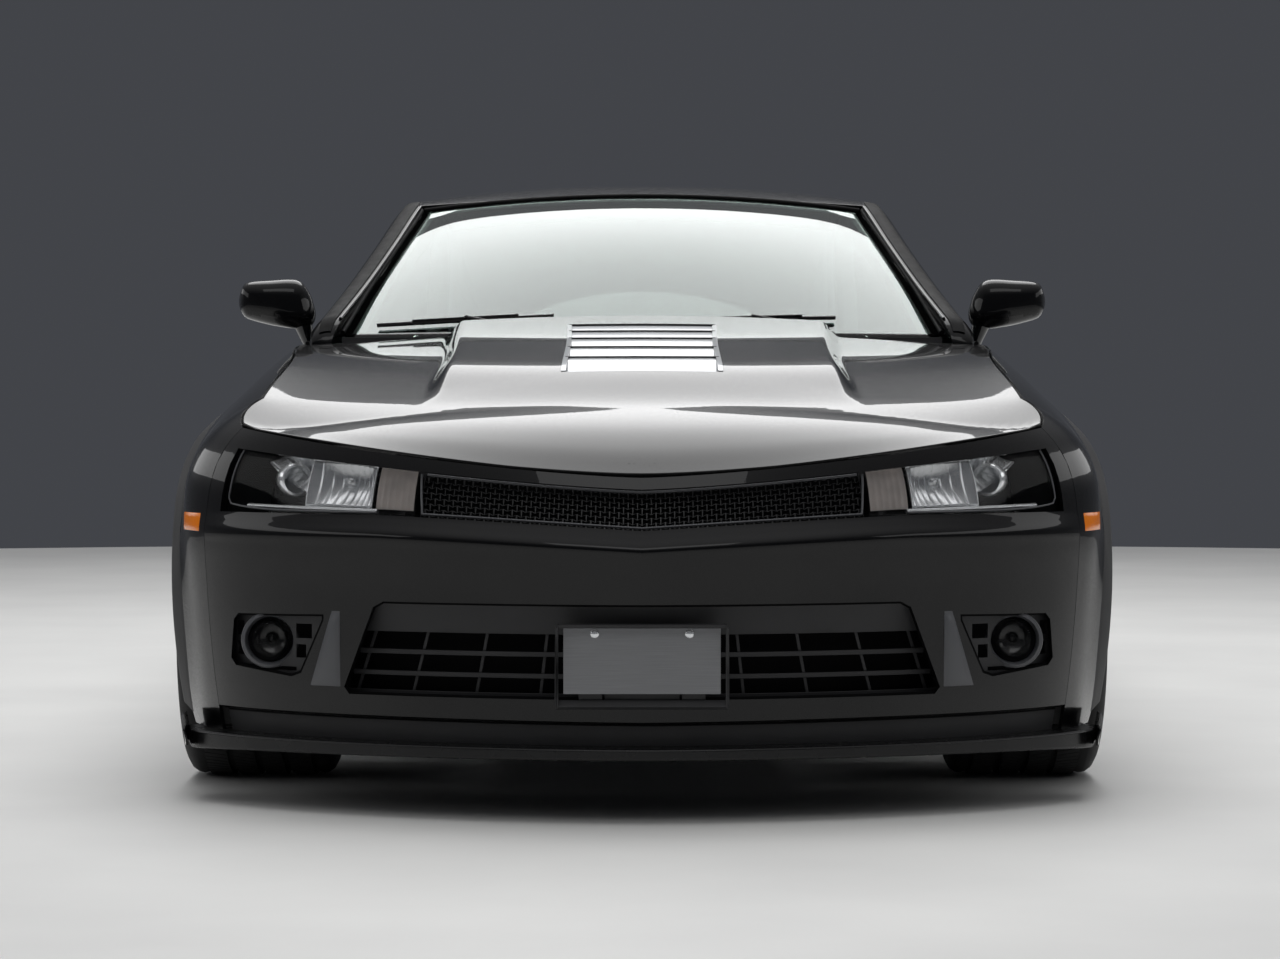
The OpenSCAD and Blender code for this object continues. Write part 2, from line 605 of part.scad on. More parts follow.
// Deck under the rear window, with the boot lid's hinge pins
deck_y = [sail_r - 60, sail_r + 30];
deck_x = rail_x(sail_r) - 72;
lid_f = sail_r + 46;
lid_axis = [lid_f - 60, 938];
lid_under = 943;
lid_arm_x = deck_x - 150;
module rear_deck() {
    color("#141517") {
        translate([-deck_x, deck_y[0], rear_base - 10]) cube([2 * deck_x, deck_y[1] - deck_y[0], 10]);
        both_sides() difference() {
            translate([lid_arm_x, lid_axis[0] - 13, lid_axis[1] - 13])
                cube([10, 26, rear_base - 10 - lid_axis[1] + 13]);
        }
        both_sides() translate([lid_arm_x, lid_axis[0], lid_axis[1]]) rotate([0, 90, 0])
            cylinder(r = 7, h = 36);
    }
}
// Boot lid
function lid_z(u, y) =
    mix(curve([[lid_f, 986], [lid_f + 300, 992], [tail_y, 972]], 1, y), shoulder_z(y) + 3, pow(abs(u), 2.6));
function lid_point(s, v) =
    let (y = mix(lid_f + 18 * s * s, tail_point(s, 1)[1] - 4, v), x = s * (edge_x(min(y, joint_r)) - 26 - gap))
    [x, y, lid_z(s, y)];
lid_vs = [0, 0.15, 0.35, 0.55, 0.7, 0.85, 1];
lid_ss = [for (i = [20:-1:0]) tail_s[i]];
module trunk_lid() {
    outer = [for (s = lid_ss) [for (v = lid_vs) lid_point(s, v)]];
    color("#0b0b0d") slab(outer, [for (r = outer) [for (p = r) [p[0], p[1], lid_under]]]);
}
// Spoiler on the lid's rear edge. Columns: share of the lid's length, height above the lid
spoiler_rise = [[4, 0.5], [4.6, 14], [5.2, 30], [5.6, 44]];
module spoiler() {
    us = [for (i = [3:17]) i];
    function on_lid(i, v) =
        let (j = min(floor(v), 5)) mix(lid_point(lid_ss[i], lid_vs[j]), lid_point(lid_ss[i], lid_vs[j + 1]), v - j);
    foot = [for (i = us) [for (k = [0:3]) on_lid(i, spoiler_rise[k][0]) + [0, 0, 0.5]]];
    color("#141517") slab(
        [for (i = [0:len(us) - 1]) [for (k = [0:3]) foot[i][k]
            + [0, k * k * 5, spoiler_rise[k][1] + (k == 0 ? 4 : 0)]]], foot);
}
// Gooseneck arms that carry the boot lid
module trunk_arms() {
    y = lid_axis[0];
    z = lid_axis[1];
    color("#2a2b2e") both_sides() translate([lid_arm_x + 14, 0, 0]) difference() {
        union() {
            translate([0, y, z]) rotate([0, 90, 0]) cylinder(r = 13, h = 16);
            translate([0, y - 11, z - 90]) cube([16, 22, 90]);
            translate([0, y - 11, z - 90]) cube([16, 140, 22]);
            translate([0, y + 107, z - 90]) cube([16, 22, 90 + lid_under - z]);
        }
        translate([-5, y, z]) rotate([0, 90, 0]) cylinder(r = 7 + pin_fit, h = 30);
    }
}
// Tail skin with openings for its lamps
module rear_fascia() {
    color("#0b0b0d") slab(tail_grid([0:20], [0:11], 0), tail_grid([0:20], [0:11], bumper_t),
        function (i, j) j == 8 && (i >= 3 && i <= 6 || i >= 13 && i <= 16));
}
module tail_lamps() {
    us = [2.7, 3, 4, 5, 6, 7, 7.2];
    vs = [7.7, 8, 9, 9.3];
    color("#5a0f12") both_sides() slab(tail_grid(us, vs, behind), tail_grid(us, vs, behind + 40));
}

// Floor, sills, bulkheads and rails
rail_in = [386, 466];
rail_low = 380;
wall_y = door_f - 12;
floor_z = [170, 196];
seat_wall = axle_r - 175;
module sills() {
    out = half_w - 58;
    len_y = axle_r - axle_f - 2 * arch_r - 16;
    color("#0b0b0d") both_sides() {
        translate([0, axle_f + arch_r + 8 + len_y, 0]) rotate([90, 0, 0]) linear_extrude(len_y)
            polygon([[door_in - 30, 150], [out - 55, 150], [out - 20, 172], [out, 235], [out - 2, sill_top - 18],
                     [out - 18, sill_top], [door_in - 30, sill_top]]);
        for (y = [axle_f + arch_r + 170, axle_r - arch_r - 170])
            translate([door_in + 20, y - 40, 136]) cube([40, 80, 14]);
    }
}
module floor_pan() {
    w = door_in - 30;
    // The floor narrows ahead of the rear wheels
    waist = axle_r - arch_r - 15;
    color("#2a2b2e") {
        translate([-w, wall_y + 2, floor_z[0]]) cube([2 * w, waist - wall_y - 2, floor_z[1] - floor_z[0]]);
        translate([-rail_in[1], waist, floor_z[0]])
            cube([2 * rail_in[1], seat_wall - waist, floor_z[1] - floor_z[0]]);
        translate([-tunnel_x, wall_y + 2, floor_z[1]]) cube([2 * tunnel_x, seat_wall - wall_y - 2, 150]);
    }
}
module bulkheads() {
    color("#2a2b2e") {
        translate([-pillar_in - 5, wall_y - 14, floor_z[0]])
            cube([2 * pillar_in + 10, 16, bonnet_flat + 2 - floor_z[0]]);
        both_sides() {
            translate([pillar_in, pillar_y[0] + 2, sill_top])
                cube([pillar_x - pillar_in, pillar_y[1] - pillar_y[0] - 2, pillar_step - sill_top]);
            translate([pillar_in, pillar_y[0] + 2, pillar_step])
                cube([pillar_neck - pillar_in, pillar_y[1] - pillar_y[0] - 2, pillar_top - pillar_step]);
        }
        translate([-rail_in[1] + 4, seat_wall, floor_z[0]]) cube([2 * rail_in[1] - 8, 14, rear_base - 50 - floor_z[0]]);
    }
}
module front_rails() {
    f = axle_f - 710;
    color("#2a2b2e") {
        both_sides() {
            translate([rail_in[0], f, rail_low]) cube([rail_in[1] - rail_in[0], wall_y - 14 - f, 100]);
            translate([rail_in[0] + 10, f + 20, splitter_top]) cube([40, 60, rail_low - splitter_top]);
            translate([330, axle_f - 60, rail_low + 20]) cube([rail_in[0] - 330, 120, 60]);
        }
        translate([-rail_in[0], f, rail_low]) cube([2 * rail_in[0], 60, 100]);
    }
}
module rear_frame() {
    r = tail_y - 230;
    color("#2a2b2e") {
        both_sides() translate([rail_in[0], seat_wall + 14, rail_low])
            cube([rail_in[1] - rail_in[0], r - seat_wall - 14, 80]);
        translate([-rail_in[0], seat_wall + 14, rail_low + 50]) cube([2 * rail_in[0], r - seat_wall - 14, 22]);
        translate([-rail_in[0], r - 60, rail_low + 72]) cube([2 * rail_in[0], 60, 120]);
        both_sides() translate([rail_in[1] - 40, seat_wall + 14, rail_low + 80])
            cube([40, deck_y[1] - seat_wall - 60, rear_base - 10 - rail_low - 80]);
    }
}
module engine() {
    f = axle_f - 380;
    color("#3a3c40") translate([-330, f, 250]) cube([660, wall_y - 90 - f, 530]);
}
module wheel_liners() {
    r = arch_r + 8;
    depth = half_w - 150.5 - rail_in[1];
    color("#101113") for (axle = [axle_f, axle_r]) both_sides()
        translate([rail_in[1], axle, hub_z]) rotate([90, 0, 90]) difference() {
            linear_extrude(depth) intersection() {
                circle(r + 5, $fn = 64);
                translate([-r - 10, 40]) square([2 * r + 20, r]);
            }
            translate([0, 0, 3]) linear_extrude(depth) circle(r, $fn = 64);
            translate([-34, 112, -1]) cube([68, 40, 10]);
        }
}

// Running gear. Places of wheel, king pin and brake along the axle
wheel_x = [track_f / 2, track_r / 2];
king_x = [wheel_x[0] - 20, wheel_x[1] - 20];
disc_at = [18, 54];
hub_face = 66;
// Spindle, upright and the caliper round the disc. Row 0 is the front axle, 1 the rear
module upright(row, tall) {
    axle = row == 0 ? axle_f : axle_r;
    translate([king_x[row] - 28, axle - 46, hub_z - tall]) cube([56, 92, 2 * tall]);
    translate([king_x[row], axle, hub_z]) rotate([0, 90, 0]) cylinder(r = 28, h = 20 + 92);
    translate([wheel_x[row], axle, hub_z]) rotate([0, 90, 0]) rotate([0, 0, 55]) difference() {
        translate([0, 0, disc_at[0] - 32]) rotate_extrude(angle = 70) translate([110, 0]) square([102, 86]);
        translate([0, 0, disc_at[0] - 7]) cylinder(r = disc_d / 2 + 7, h = disc_at[1] - disc_at[0] + 14);
    }
    translate([king_x[row] + 10, axle + 40, hub_z - 30]) cube([22, 95, 60]);
}
module knuckle() {
    upright(0, 112);
    for (k = [0, 1]) translate([king_x[0], axle_f, hub_z + (k == 0 ? -168 : 112)]) cylinder(r = 14, h = 56);
}
module knuckle_left() color("#4a4c50") knuckle();
module knuckle_right() color("#4a4c50") mirror([1, 0, 0]) knuckle();
module front_arms() {
    // Lower and upper arm. Columns: height from the hub, inner end
    arms = [[-140, rail_in[0] + 20], [132, rail_in[1]]];
    color("#2a2b2e") both_sides() for (arm = arms) difference() {
        union() {
            translate([king_x[0], axle_f, hub_z + arm[0] - 14]) cylinder(r = 27, h = 28);
            translate([arm[1], axle_f - 24, hub_z + arm[0] - 14]) cube([king_x[0] - arm[1], 48, 28]);
            if (arm[0] < 0) translate([arm[1], axle_f - 24, hub_z - 154]) cube([40, 48, rail_low - hub_z + 154]);
        }
        translate([king_x[0], axle_f, hub_z + arm[0] - 40]) cylinder(r = 14 + pin_fit, h = 80);
    }
}
module rear_axle() {
    color("#2a2b2e") {
        both_sides() {
            upright(1, 100);
            translate([120, axle_r - 30, hub_z - 30]) cube([king_x[1] - 28 - 120, 60, 60]);
        }
        translate([-120, axle_r - 140, hub_z - 110]) cube([240, 280, rail_low + 50 - hub_z + 110]);
    }
}
tyre_profile = let (b = rim_d / 2 + 0.4, r = tyre_d / 2, w = tyre_w / 2)
    [[b, w - 15], [b + 14, w - 14], [b + 19, w - 4], [b + 38, w], [r - 28, w - 1], [r - 11, w - 9],
     [r - 2, w - 26], [r, w - 44], [r, 62], [r - 7, 62], [r - 7, 50], [r, 50], [r, 6], [r - 7, 6]];
module tyre() {
    rotate([0, 90, 0]) rotate_extrude($fn = 64) polygon(concat(tyre_profile,
        [for (i = [len(tyre_profile) - 1:-1:0]) [tyre_profile[i][0], -tyre_profile[i][1]]]));
}
module rim() {
    b = rim_d / 2;
    w = tyre_w / 2 - 6;
    rotate([0, 90, 0]) difference() {
        union() {
            rotate_extrude($fn = 72) polygon([[b - 12, -w], [b + 12, -w], [b + 12, -w + 7], [b, -w + 7], [b, w - 7],
                [b + 12, w - 7], [b + 12, w], [b - 12, w]]);
            translate([0, 0, hub_face]) cylinder(r = 84, h = 56);
            translate([0, 0, disc_at[0]]) cylinder(r = disc_d / 2, h = disc_at[1] - disc_at[0]);
            translate([0, 0, disc_at[0]]) cylinder(r = 92, h = hub_face - disc_at[0]);
            for (k = [0:spoke_pairs - 1], m = [-1, 1]) rotate([0, 0, 360 / spoke_pairs * k + m * 13])
                translate([0, 0, hub_face + 26]) linear_extrude(34)
                polygon([[60, -18], [b - 6, -13], [b - 6, 13], [60, 18]]);
        }
        translate([0, 0, -200]) cylinder(r = 28 + pin_fit, h = 200 + hub_face + 30);
    }
}
module corner(side, row)
    translate([side * wheel_x[row], row == 0 ? axle_f : axle_r, hub_z]) mirror([side < 0 ? 1 : 0, 0, 0]) children();
module wheel_fl() color("#2c2e31") corner(1, 0) rim();
module wheel_fr() color("#2c2e31") corner(-1, 0) rim();
module wheel_rl() color("#2c2e31") corner(1, 1) rim();
module wheel_rr() color("#2c2e31") corner(-1, 1) rim();
module tyre_fl() color("#151516") corner(1, 0) tyre();
module tyre_fr() color("#151516") corner(-1, 0) tyre();
module tyre_rl() color("#151516") corner(1, 1) tyre();
module tyre_rr() color("#151516") corner(-1, 1) tyre();

// Bonnet hinges: brackets with pins on the bulkhead, eyes under the bonnet
bonnet_axis = [wall_y - 78, bonnet_flat - 20];
bonnet_arm_x = pillar_in - 84.5;
module hood_brackets() {
    y = bonnet_axis[0];
    z = bonnet_axis[1];
    both_sides() union() {
        translate([bonnet_arm_x, y - 12, z - 14]) cube([12, wall_y - 14 - y + 12, 26]);
        translate([bonnet_arm_x, y, z]) rotate([0, 90, 0]) cylinder(r = pin_r, h = 40);
    }
}
module body_hinges() color("#2a2b2e") {
    door_straps();
    hood_brackets();
}
module hood_arms() {
    y = bonnet_axis[0];
    z = bonnet_axis[1];
    color("#2a2b2e") both_sides() translate([bonnet_arm_x + 16, 0, 0]) difference() {
        union() {
            translate([0, y, z]) rotate([0, 90, 0]) cylinder(r = 14, h = 18);
            translate([0, y - 90, z - 10]) cube([18, 90, 20]);
            translate([0, y - 90, z - 10]) cube([18, 44, bonnet_flat - z + 10]);
        }
        translate([-5, y, z]) rotate([0, 90, 0]) cylinder(r = pin_r + pin_fit, h = 40);
    }
}

// Cabin
// Half the tunnel's width, the front seats' centre and half their width between tunnel and door
tunnel_x = 100;
seat_x = (door_in - 30.5) / 2;
seat_w = (door_in - 50.5 - 2 * tunnel_x) / 2;
seat_y = mix(door_f, door_r, 0.62);
module seat() {
    w = seat_w - 40;
    hull() for (x = [-w, w], y = [-260, 190]) translate([x, y, floor_z[1] + 90]) cylinder(r = 40, h = 110, $fn = 12);
    hull() {
        for (x = [-w - 5, w + 5]) translate([x, 190, floor_z[1] + 120]) cylinder(r = 38, h = 60, $fn = 12);
        for (x = [25 - w, w - 25]) translate([x, 350, floor_z[1] + 640]) cylinder(r = 36, h = 40, $fn = 12);
    }
    hull() for (x = [-80, 80]) translate([x, 372, floor_z[1] + 660]) cylinder(r = 40, h = 160, $fn = 12);
    translate([15 - w, -220, floor_z[1]]) cube([2 * w - 30, 380, 100]);
}
module seats_front() {
    color("#232427") welded() both_sides() translate([seat_x, seat_y, 0]) seat();
}
module rear_bench() {
    w = rail_in[1] - 0.6;
    color("#232427") {
        translate([-w, seat_wall - 470, floor_z[1] + 150]) cube([2 * w, 470, 170]);
        translate([-w, seat_wall - 130, floor_z[1] + 320]) cube([2 * w, 130, 380]);
    }
}
module dashboard() {
    w = pillar_in - 4.5;
    color("#1a1b1d") {
        translate([-w, 0, 0]) rotate([90, 0, 90]) linear_extrude(2 * w)
            polygon([[wall_y + 2, 600], [wall_y + 2, 840], [wall_y + 68, 858], [wall_y + 125, 893], [wall_y + 330, 880],
                     [wall_y + 390, 800], [wall_y + 340, 640], [wall_y + 150, 600]]);
        steering_column();
    }
}
// Steering wheel on its column
wheel_axis = [seat_x, wall_y + 500, 800];
wheel_tilt = 24;
module steering_column() {
    translate(wheel_axis) rotate([90 + wheel_tilt, 0, 0]) union() {
        translate([0, 0, 34]) cylinder(r = 34, h = 100);
        translate([0, 0, -30]) cylinder(r = 12, h = 80);
    }
}
module steering_wheel() {
    color("#161718") translate(wheel_axis) rotate([90 + wheel_tilt, 0, 0]) difference() {
        union() {
            rotate_extrude($fn = 64) translate([172, 0]) circle(r = 15, $fn = 24);
            translate([0, 0, -26]) cylinder(r = 62, h = 46);
            for (a = [0, 180, 270]) rotate([0, 0, a]) translate([50, -17, -10]) cube([118, 34, 18]);
        }
        translate([0, 0, -60]) cylinder(r = 12 + pin_fit, h = 120);
    }
}
module exhaust() {
    color("#8d9196") both_sides() {
        translate([250, axle_r + 330, 300]) rotate([-90, 0, 0]) cylinder(r = 70, h = 420);
        translate([300, axle_r + 740, 252]) rotate([-90, 0, 0]) cylinder(r = 42, h = tail_y - axle_r - 740 - 90);
        translate([205, axle_r + 400, 360]) cube([90, 80, rail_low + 50 - 360]);
    }
}

front_fascia();
splitter();
upper_grille();
lower_grille();
headlamps();
fog_lamps();
number_plate();
fenders();
hood();
hood_vent();
hood_arms();
cowl();
windshield();
roof();
door_left();
door_right();
door_glass_left();
door_glass_right();
mirror_left();
mirror_right();
door_eyes_left();
door_eyes_right();
body_hinges();
quarters();
quarter_windows();
rear_window();
rear_deck();
trunk_lid();
spoiler();
trunk_arms();
rear_fascia();
tail_lamps();
sills();
floor_pan();
bulkheads();
front_rails();
rear_frame();
engine();
wheel_liners();
knuckle_left();
knuckle_right();
front_arms();
rear_axle();
wheel_fl();
wheel_fr();
wheel_rl();
wheel_rr();
tyre_fl();
tyre_fr();
tyre_rl();
tyre_rr();
seats_front();
rear_bench();
dashboard();
steering_wheel();
exhaust();
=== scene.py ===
import math
import bpy
import bmesh
from mathutils import Matrix, Vector


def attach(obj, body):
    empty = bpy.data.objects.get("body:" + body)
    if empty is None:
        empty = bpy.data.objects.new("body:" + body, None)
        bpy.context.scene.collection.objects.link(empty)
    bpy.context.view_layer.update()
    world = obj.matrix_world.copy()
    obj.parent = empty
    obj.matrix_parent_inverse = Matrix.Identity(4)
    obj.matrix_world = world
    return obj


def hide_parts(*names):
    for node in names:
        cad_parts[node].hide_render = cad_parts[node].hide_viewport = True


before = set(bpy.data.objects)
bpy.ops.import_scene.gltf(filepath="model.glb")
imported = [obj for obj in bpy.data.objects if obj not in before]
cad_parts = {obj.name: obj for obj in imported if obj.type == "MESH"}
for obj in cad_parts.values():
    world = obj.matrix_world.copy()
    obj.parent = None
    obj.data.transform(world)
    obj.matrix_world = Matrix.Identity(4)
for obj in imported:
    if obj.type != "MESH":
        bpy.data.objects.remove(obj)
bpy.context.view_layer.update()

scene = bpy.context.scene
scene.view_settings.view_transform = "Standard"

# Camera: straight ahead of the nose at about a child's eye height, on a long lens,
# tipped a little down so that the road line sits above the middle of the picture.
lens = bpy.data.cameras.new("front_view")
lens.sensor_width = 36.0
lens.lens = 106.9
lens.shift_x = -0.0016
camera = bpy.data.objects.new("front_view", lens)
camera.location = (0.0, -9.442, 0.8)
camera.rotation_euler = (math.radians(90 - 1.32), 0, 0)
scene.collection.objects.link(camera)
scene.camera = camera


def linear(code):
    """Linear colour of an sRGB hex value."""
    parts = [int(code[i:i + 2], 16) / 255 for i in (1, 3, 5)]
    return tuple(c / 12.92 if c <= 0.04045 else ((c + 0.055) / 1.055) ** 2.4 for c in parts) + (1.0,)


def add(owner, kind, sockets, to=None, ramp=(), output=None, **settings):
    """Adds a node with its settings and links to a material or world, and gives its output.
    A texture lies in Object coordinates, ramp sets hex colours, and to names a socket of the main shader."""
    tree = owner.node_tree
    node = tree.nodes.new("ShaderNode" + kind)
    for key, value in settings.items():
        setattr(node, key, value)
    for stop, code in zip(node.color_ramp.elements if ramp else (), ramp):
        stop.color = linear(code)
    if kind.startswith("Tex") and kind != "TexCoord" and "Vector" not in sockets:
        sockets = {"Vector": add(owner, "TexCoord", {}, output="Object"), **sockets}
    for key, value in sockets.items():
        if isinstance(value, bpy.types.NodeSocket):
            tree.links.new(value, node.inputs[key])
        else:
            node.inputs[key].default_value = value
    out = node.outputs[output] if output else node.outputs.get("Fac") or node.outputs[0]
    if to:
        main = tree.nodes.get("Principled BSDF") or tree.nodes["Background"]
        tree.links.new(out, main.inputs[to])
    return out


def finish_of(name, **sockets):
    """New material with one main shader whose plain values are set on its own sockets."""
    material = bpy.data.materials.new(name)
    material.use_nodes = True
    shader = material.node_tree.nodes["Principled BSDF"]
    for key, value in sockets.items():
        shader.inputs[key.replace("_", " ")].default_value = value
    return material


# Studio: a pale sealed-concrete floor under one broad ceiling panel behind the roof, a weaker one
# ahead of the nose and a long pale screen down each side. The room behind stays dim, and two broad
# washes light the floor and the tail without showing in the paint.
floor_mesh = bmesh.new()
bmesh.ops.create_circle(floor_mesh, cap_ends=True, segments=96, radius=10.5)
floor_data = bpy.data.meshes.new("studio_floor")
floor_mesh.to_mesh(floor_data)
floor_mesh.free()
floor = bpy.data.objects.new("studio_floor", floor_data)
scene.collection.objects.link(floor)
# Sealed concrete: faint cloudy patches half a metre wide, and a soft sheen.
concrete = finish_of("sealed_concrete", Roughness=0.42)
cloud = add(concrete, "TexNoise", {"Scale": 1.6, "Detail": 5.0})
add(concrete, "ValToRGB", {"Fac": cloud}, "Base Color", ["#bdbdbc", "#d2d2d0"])
floor_data.materials.append(concrete)

world = bpy.data.worlds.new("dim_room")
scene.world = world
world.use_nodes = True
view = add(world, "TexCoord", {}, output="Generated")
up = add(world, "SeparateXYZ", {"Vector": view}, output="Z")
rise = add(world, "ValToRGB", {"Fac": up}, "Color").node.color_ramp.elements
rise[0].position, rise[0].color = 0.3, (0.055, 0.058, 0.066, 1)
rise[1].position, rise[1].color = 0.9, (0.6, 0.6, 0.61, 1)
# Columns: name, outline, place, point looked at, width, length, watts
for name, shape, at, aim, wide, long, watts in (
        ("ceiling_panel", "ELLIPSE", (0, 2.7, 5.8), (0, 0.58, 1.27), 6.6, 6.6, 290),
        ("overhead_wash", "ELLIPSE", (0, -0.5, 7.5), (0, -0.5, 0), 9.0, 9.0, 430),
        ("front_panel", "RECTANGLE", (0, -7.5, 6.0), (0, -1.0, 0.6), 6.0, 2.4, 60),
        ("left_screen", "RECTANGLE", (6.5, -0.5, 2.6), (0, -0.5, 0.7), 13.0, 1.5, 75),
        ("right_screen", "RECTANGLE", (-6.5, -0.5, 2.6), (0, -0.5, 0.7), 13.0, 1.5, 75),
        ("rear_panel", "RECTANGLE", (0, 8.5, 3.2), (0, 1.5, 0.6), 6.0, 1.4, 40)):
    lamp = bpy.data.lights.new(name, "AREA")
    lamp.shape = shape
    lamp.size = wide
    lamp.size_y = long
    lamp.energy = watts
    holder = bpy.data.objects.new(name, lamp)
    holder.location = at
    holder.rotation_euler = (Vector(aim) - Vector(at)).to_track_quat("-Z", "Y").to_euler()
    holder.visible_glossy = name not in ("rear_panel", "overhead_wash")
    scene.collection.objects.link(holder)

# Front bumper skin: one injection-moulded cover, painted with the body. It wraps round the nose
# between the wings and holds the lamp band, the lower intake and the two fog-lamp corners.
MM = 0.001
HALF_W = 976.5
NOSE_Y = -2442.0
TAIL_Y = 2442.0
AXLE_F = -1477.0
AXLE_R = 1375.0
HUB_Z = 333.0
ARCH_R = 380.0
DOOR_F = -680.0
DOOR_R = 640.0
GAP = 6.0
NOSE_E = AXLE_F - ARCH_R - 3
TAIL_E = AXLE_R + ARCH_R + 5
JOINT_F = NOSE_E - 150
JOINT_R = TAIL_E + 130
MID_Z = 520.0
LOW_Z = 190.0
SILL_TOP = 300.0
SPLIT_TOP = 140.0


def mix(a, b, t):
    return a + (b - a) * t


def ease(t):
    t = max(0.0, min(1.0, t))
    return t * t * (3 - 2 * t)


def curve(table, column, at):
    """Smooth curve through one column of a table, held level past its ends."""
    i = 0
    while i < len(table) - 2 and at >= table[i + 1][0]:
        i += 1
    a, b = table[i], table[i + 1]
    span = b[0] - a[0]
    t = max(0.0, min(1.0, (at - a[0]) / span))
    s = 1 - t

    def slope(k):
        p, q = table[max(k - 1, 0)], table[min(k + 1, len(table) - 1)]
        return (q[column] - p[column]) / (q[0] - p[0])
    return (a[column] * (1 + 2 * t) * s * s + b[column] * t * t * (3 - 2 * t)
            + span * (slope(i) * t * s * s - slope(i + 1) * t * t * s))


# Side sections. Columns: place, inset of the widest line, of the lower edge, of the shoulder, its height
SIDES = [
    (JOINT_F, 62, 85, 215, 730), (NOSE_E, 62, 85, 215, 786), (AXLE_F, 58, 72, 236, 862),
    (AXLE_F + 400, 56, 62, 210, 893), (DOOR_F, 50, 50, 192, 908), (mix(DOOR_F, DOOR_R, 0.5), 54, 50, 180, 918),
    (DOOR_R, 46, 50, 180, 932), (AXLE_R - 300, 26, 50, 200, 948), (AXLE_R, 24, 60, 240, 956),
    (TAIL_E, 36, 80, 290, 955), (TAIL_Y, 60, 100, 310, 945)]


def shoulder_z(y):
    return curve(SIDES, 4, y)


def shoulder_x(y):
    return HALF_W - curve(SIDES, 3, y)


def plain_x(y, z):
    """Half width of the side without its flares."""
    mid = HALF_W - curve(SIDES, 1, y)
    low = HALF_W - curve(SIDES, 2, y)
    if z > MID_Z:
        return mid - (mid - shoulder_x(y)) * ((z - MID_Z) / (shoulder_z(y) - MID_Z)) ** 3.5
    return mid - (mid - low) * ((MID_Z - z) / (MID_Z - LOW_Z)) ** 2


def flare(y, z):
    out = 0.0
    for axle, stand in ((AXLE_F, 27.0), (AXLE_R, 26.0)):
        reach = max(0.0, math.hypot(y - axle, z - HUB_Z) - ARCH_R)
        out += stand * max(0.0, 1 - reach / 95) ** 2
    return out


NOSE_PROFILE = [(0, 57), (0.18, 50), (0.4, 44), (0.56, 36), (0.7, 22), (0.75, 18), (0.79, 34), (0.82, 46), (1, 85)]
TAIL_PROFILE = [(0, 86), (0.15, 38), (0.35, 4), (0.5, 0), (0.6, 8), (0.66, 34), (0.8, 42), (1, 60)]
LIP_Z, NOSE_TOP, TAIL_TOP, REAR_LOW = 640.0, 730.0, 935.0, 300.0
BAND_T, BAND_END = 0.82, 568.0
NOSE_N, TAIL_N = 1.7, 4.0


def closing(d, length, n):
    return max(0.0, 1 - (max(0.0, d) / length) ** n) ** (1 / n)


def nose_len(t):
    return NOSE_E - NOSE_Y - curve(NOSE_PROFILE, 1, t)


def tail_len(t):
    return TAIL_Y - TAIL_E - max(0.0, curve(TAIL_PROFILE, 1, t))


def band_z(s):
    """Lower edge of the lamp band, with a shallow V at the middle."""
    return BAND_END - 26 * max(0.0, 1 - abs(s) / 0.6) ** 1.2


def lip_z(s):
    return mix(LIP_Z, NOSE_TOP, abs(s) ** 1.4)


def nose_z(s, t):
    if t < BAND_T:
        return mix(SPLIT_TOP, band_z(s), t / BAND_T)
    return mix(band_z(s), lip_z(s), (t - BAND_T) / (1 - BAND_T))


def nose_t(z):
    if z < BAND_END:
        return BAND_T * (z - SPLIT_TOP) / (BAND_END - SPLIT_TOP)
    return BAND_T + (1 - BAND_T) * (z - BAND_END) / (NOSE_TOP - BAND_END)


def nose_point(s, t, inset=0.0):
    """Point of the nose: s runs from -1 to 1 round the front, t from the foot to the bonnet edge."""
    z = nose_z(s, t)
    wide = plain_x(NOSE_E, z) - inset
    long = nose_len(t) - inset
    f = closing(NOSE_E - JOINT_F, long, NOSE_N) * abs(s)
    crease = 13 * max(0.0, 1 - abs(s) / 0.6) ** 1.2 * ease((t - 0.45) / 0.3)
    return Vector((math.copysign(f * wide, s), NOSE_E - long * closing(f, 1, NOSE_N) - crease, z))


def side_x(y, z):
    """Half width of the whole side, with flares, nose and tail."""
    if y < NOSE_E:
        base = plain_x(NOSE_E, z) * closing(NOSE_E - y, nose_len(nose_t(z)), NOSE_N)
    elif y > TAIL_E:
        base = plain_x(TAIL_E, z) * closing(y - TAIL_E, tail_len((z - REAR_LOW) / (TAIL_TOP - REAR_LOW)), TAIL_N)
    else:
        base = plain_x(y, z)
    return base + flare(y, z)


def skin(cols, rows, point, drop=None):
    """Grid whose vertices a surface function moves. Cells that drop names, by place, are left out."""
    bm = bmesh.new()
    bmesh.ops.create_grid(bm, x_segments=cols, y_segments=rows, size=0.5)
    if drop:
        gone = [f for f in bm.faces if drop(*(f.calc_center_median().xy + Vector((0.5, 0.5))))]
        bmesh.ops.delete(bm, geom=gone, context="FACES")
    for v in bm.verts:
        v.co = Vector(point(v.co.x + 0.5, v.co.y + 0.5)) * MM
    return bm


def cut_window(bm, corners, among):
    """Cuts a straight-sided opening, given by its corners seen from the front, out of a skin."""
    turn = sum(a[0] * b[1] - b[0] * a[1] for a, b in zip(corners, corners[1:] + corners[:1]))
    walls = []
    for a, b in zip(corners, corners[1:] + corners[:1]):
        out = Vector((b[1] - a[1], 0, a[0] - b[0])).normalized() * math.copysign(1, turn)
        walls.append((Vector((a[0], 0, a[1])) * MM, out))
        near = [f for f in bm.faces if among(f.calc_center_median() / MM)]
        geom = near + list({e for f in near for e in f.edges}) + list({v for f in near for v in f.verts})
        bmesh.ops.bisect_plane(bm, geom=geom, plane_co=walls[-1][0], plane_no=out, dist=1e-6)
    gone = [f for f in bm.faces if among(f.calc_center_median() / MM)
            and all((f.calc_center_median() - at).dot(out) < 0 for at, out in walls)]
    bmesh.ops.delete(bm, geom=gone, context="FACES")


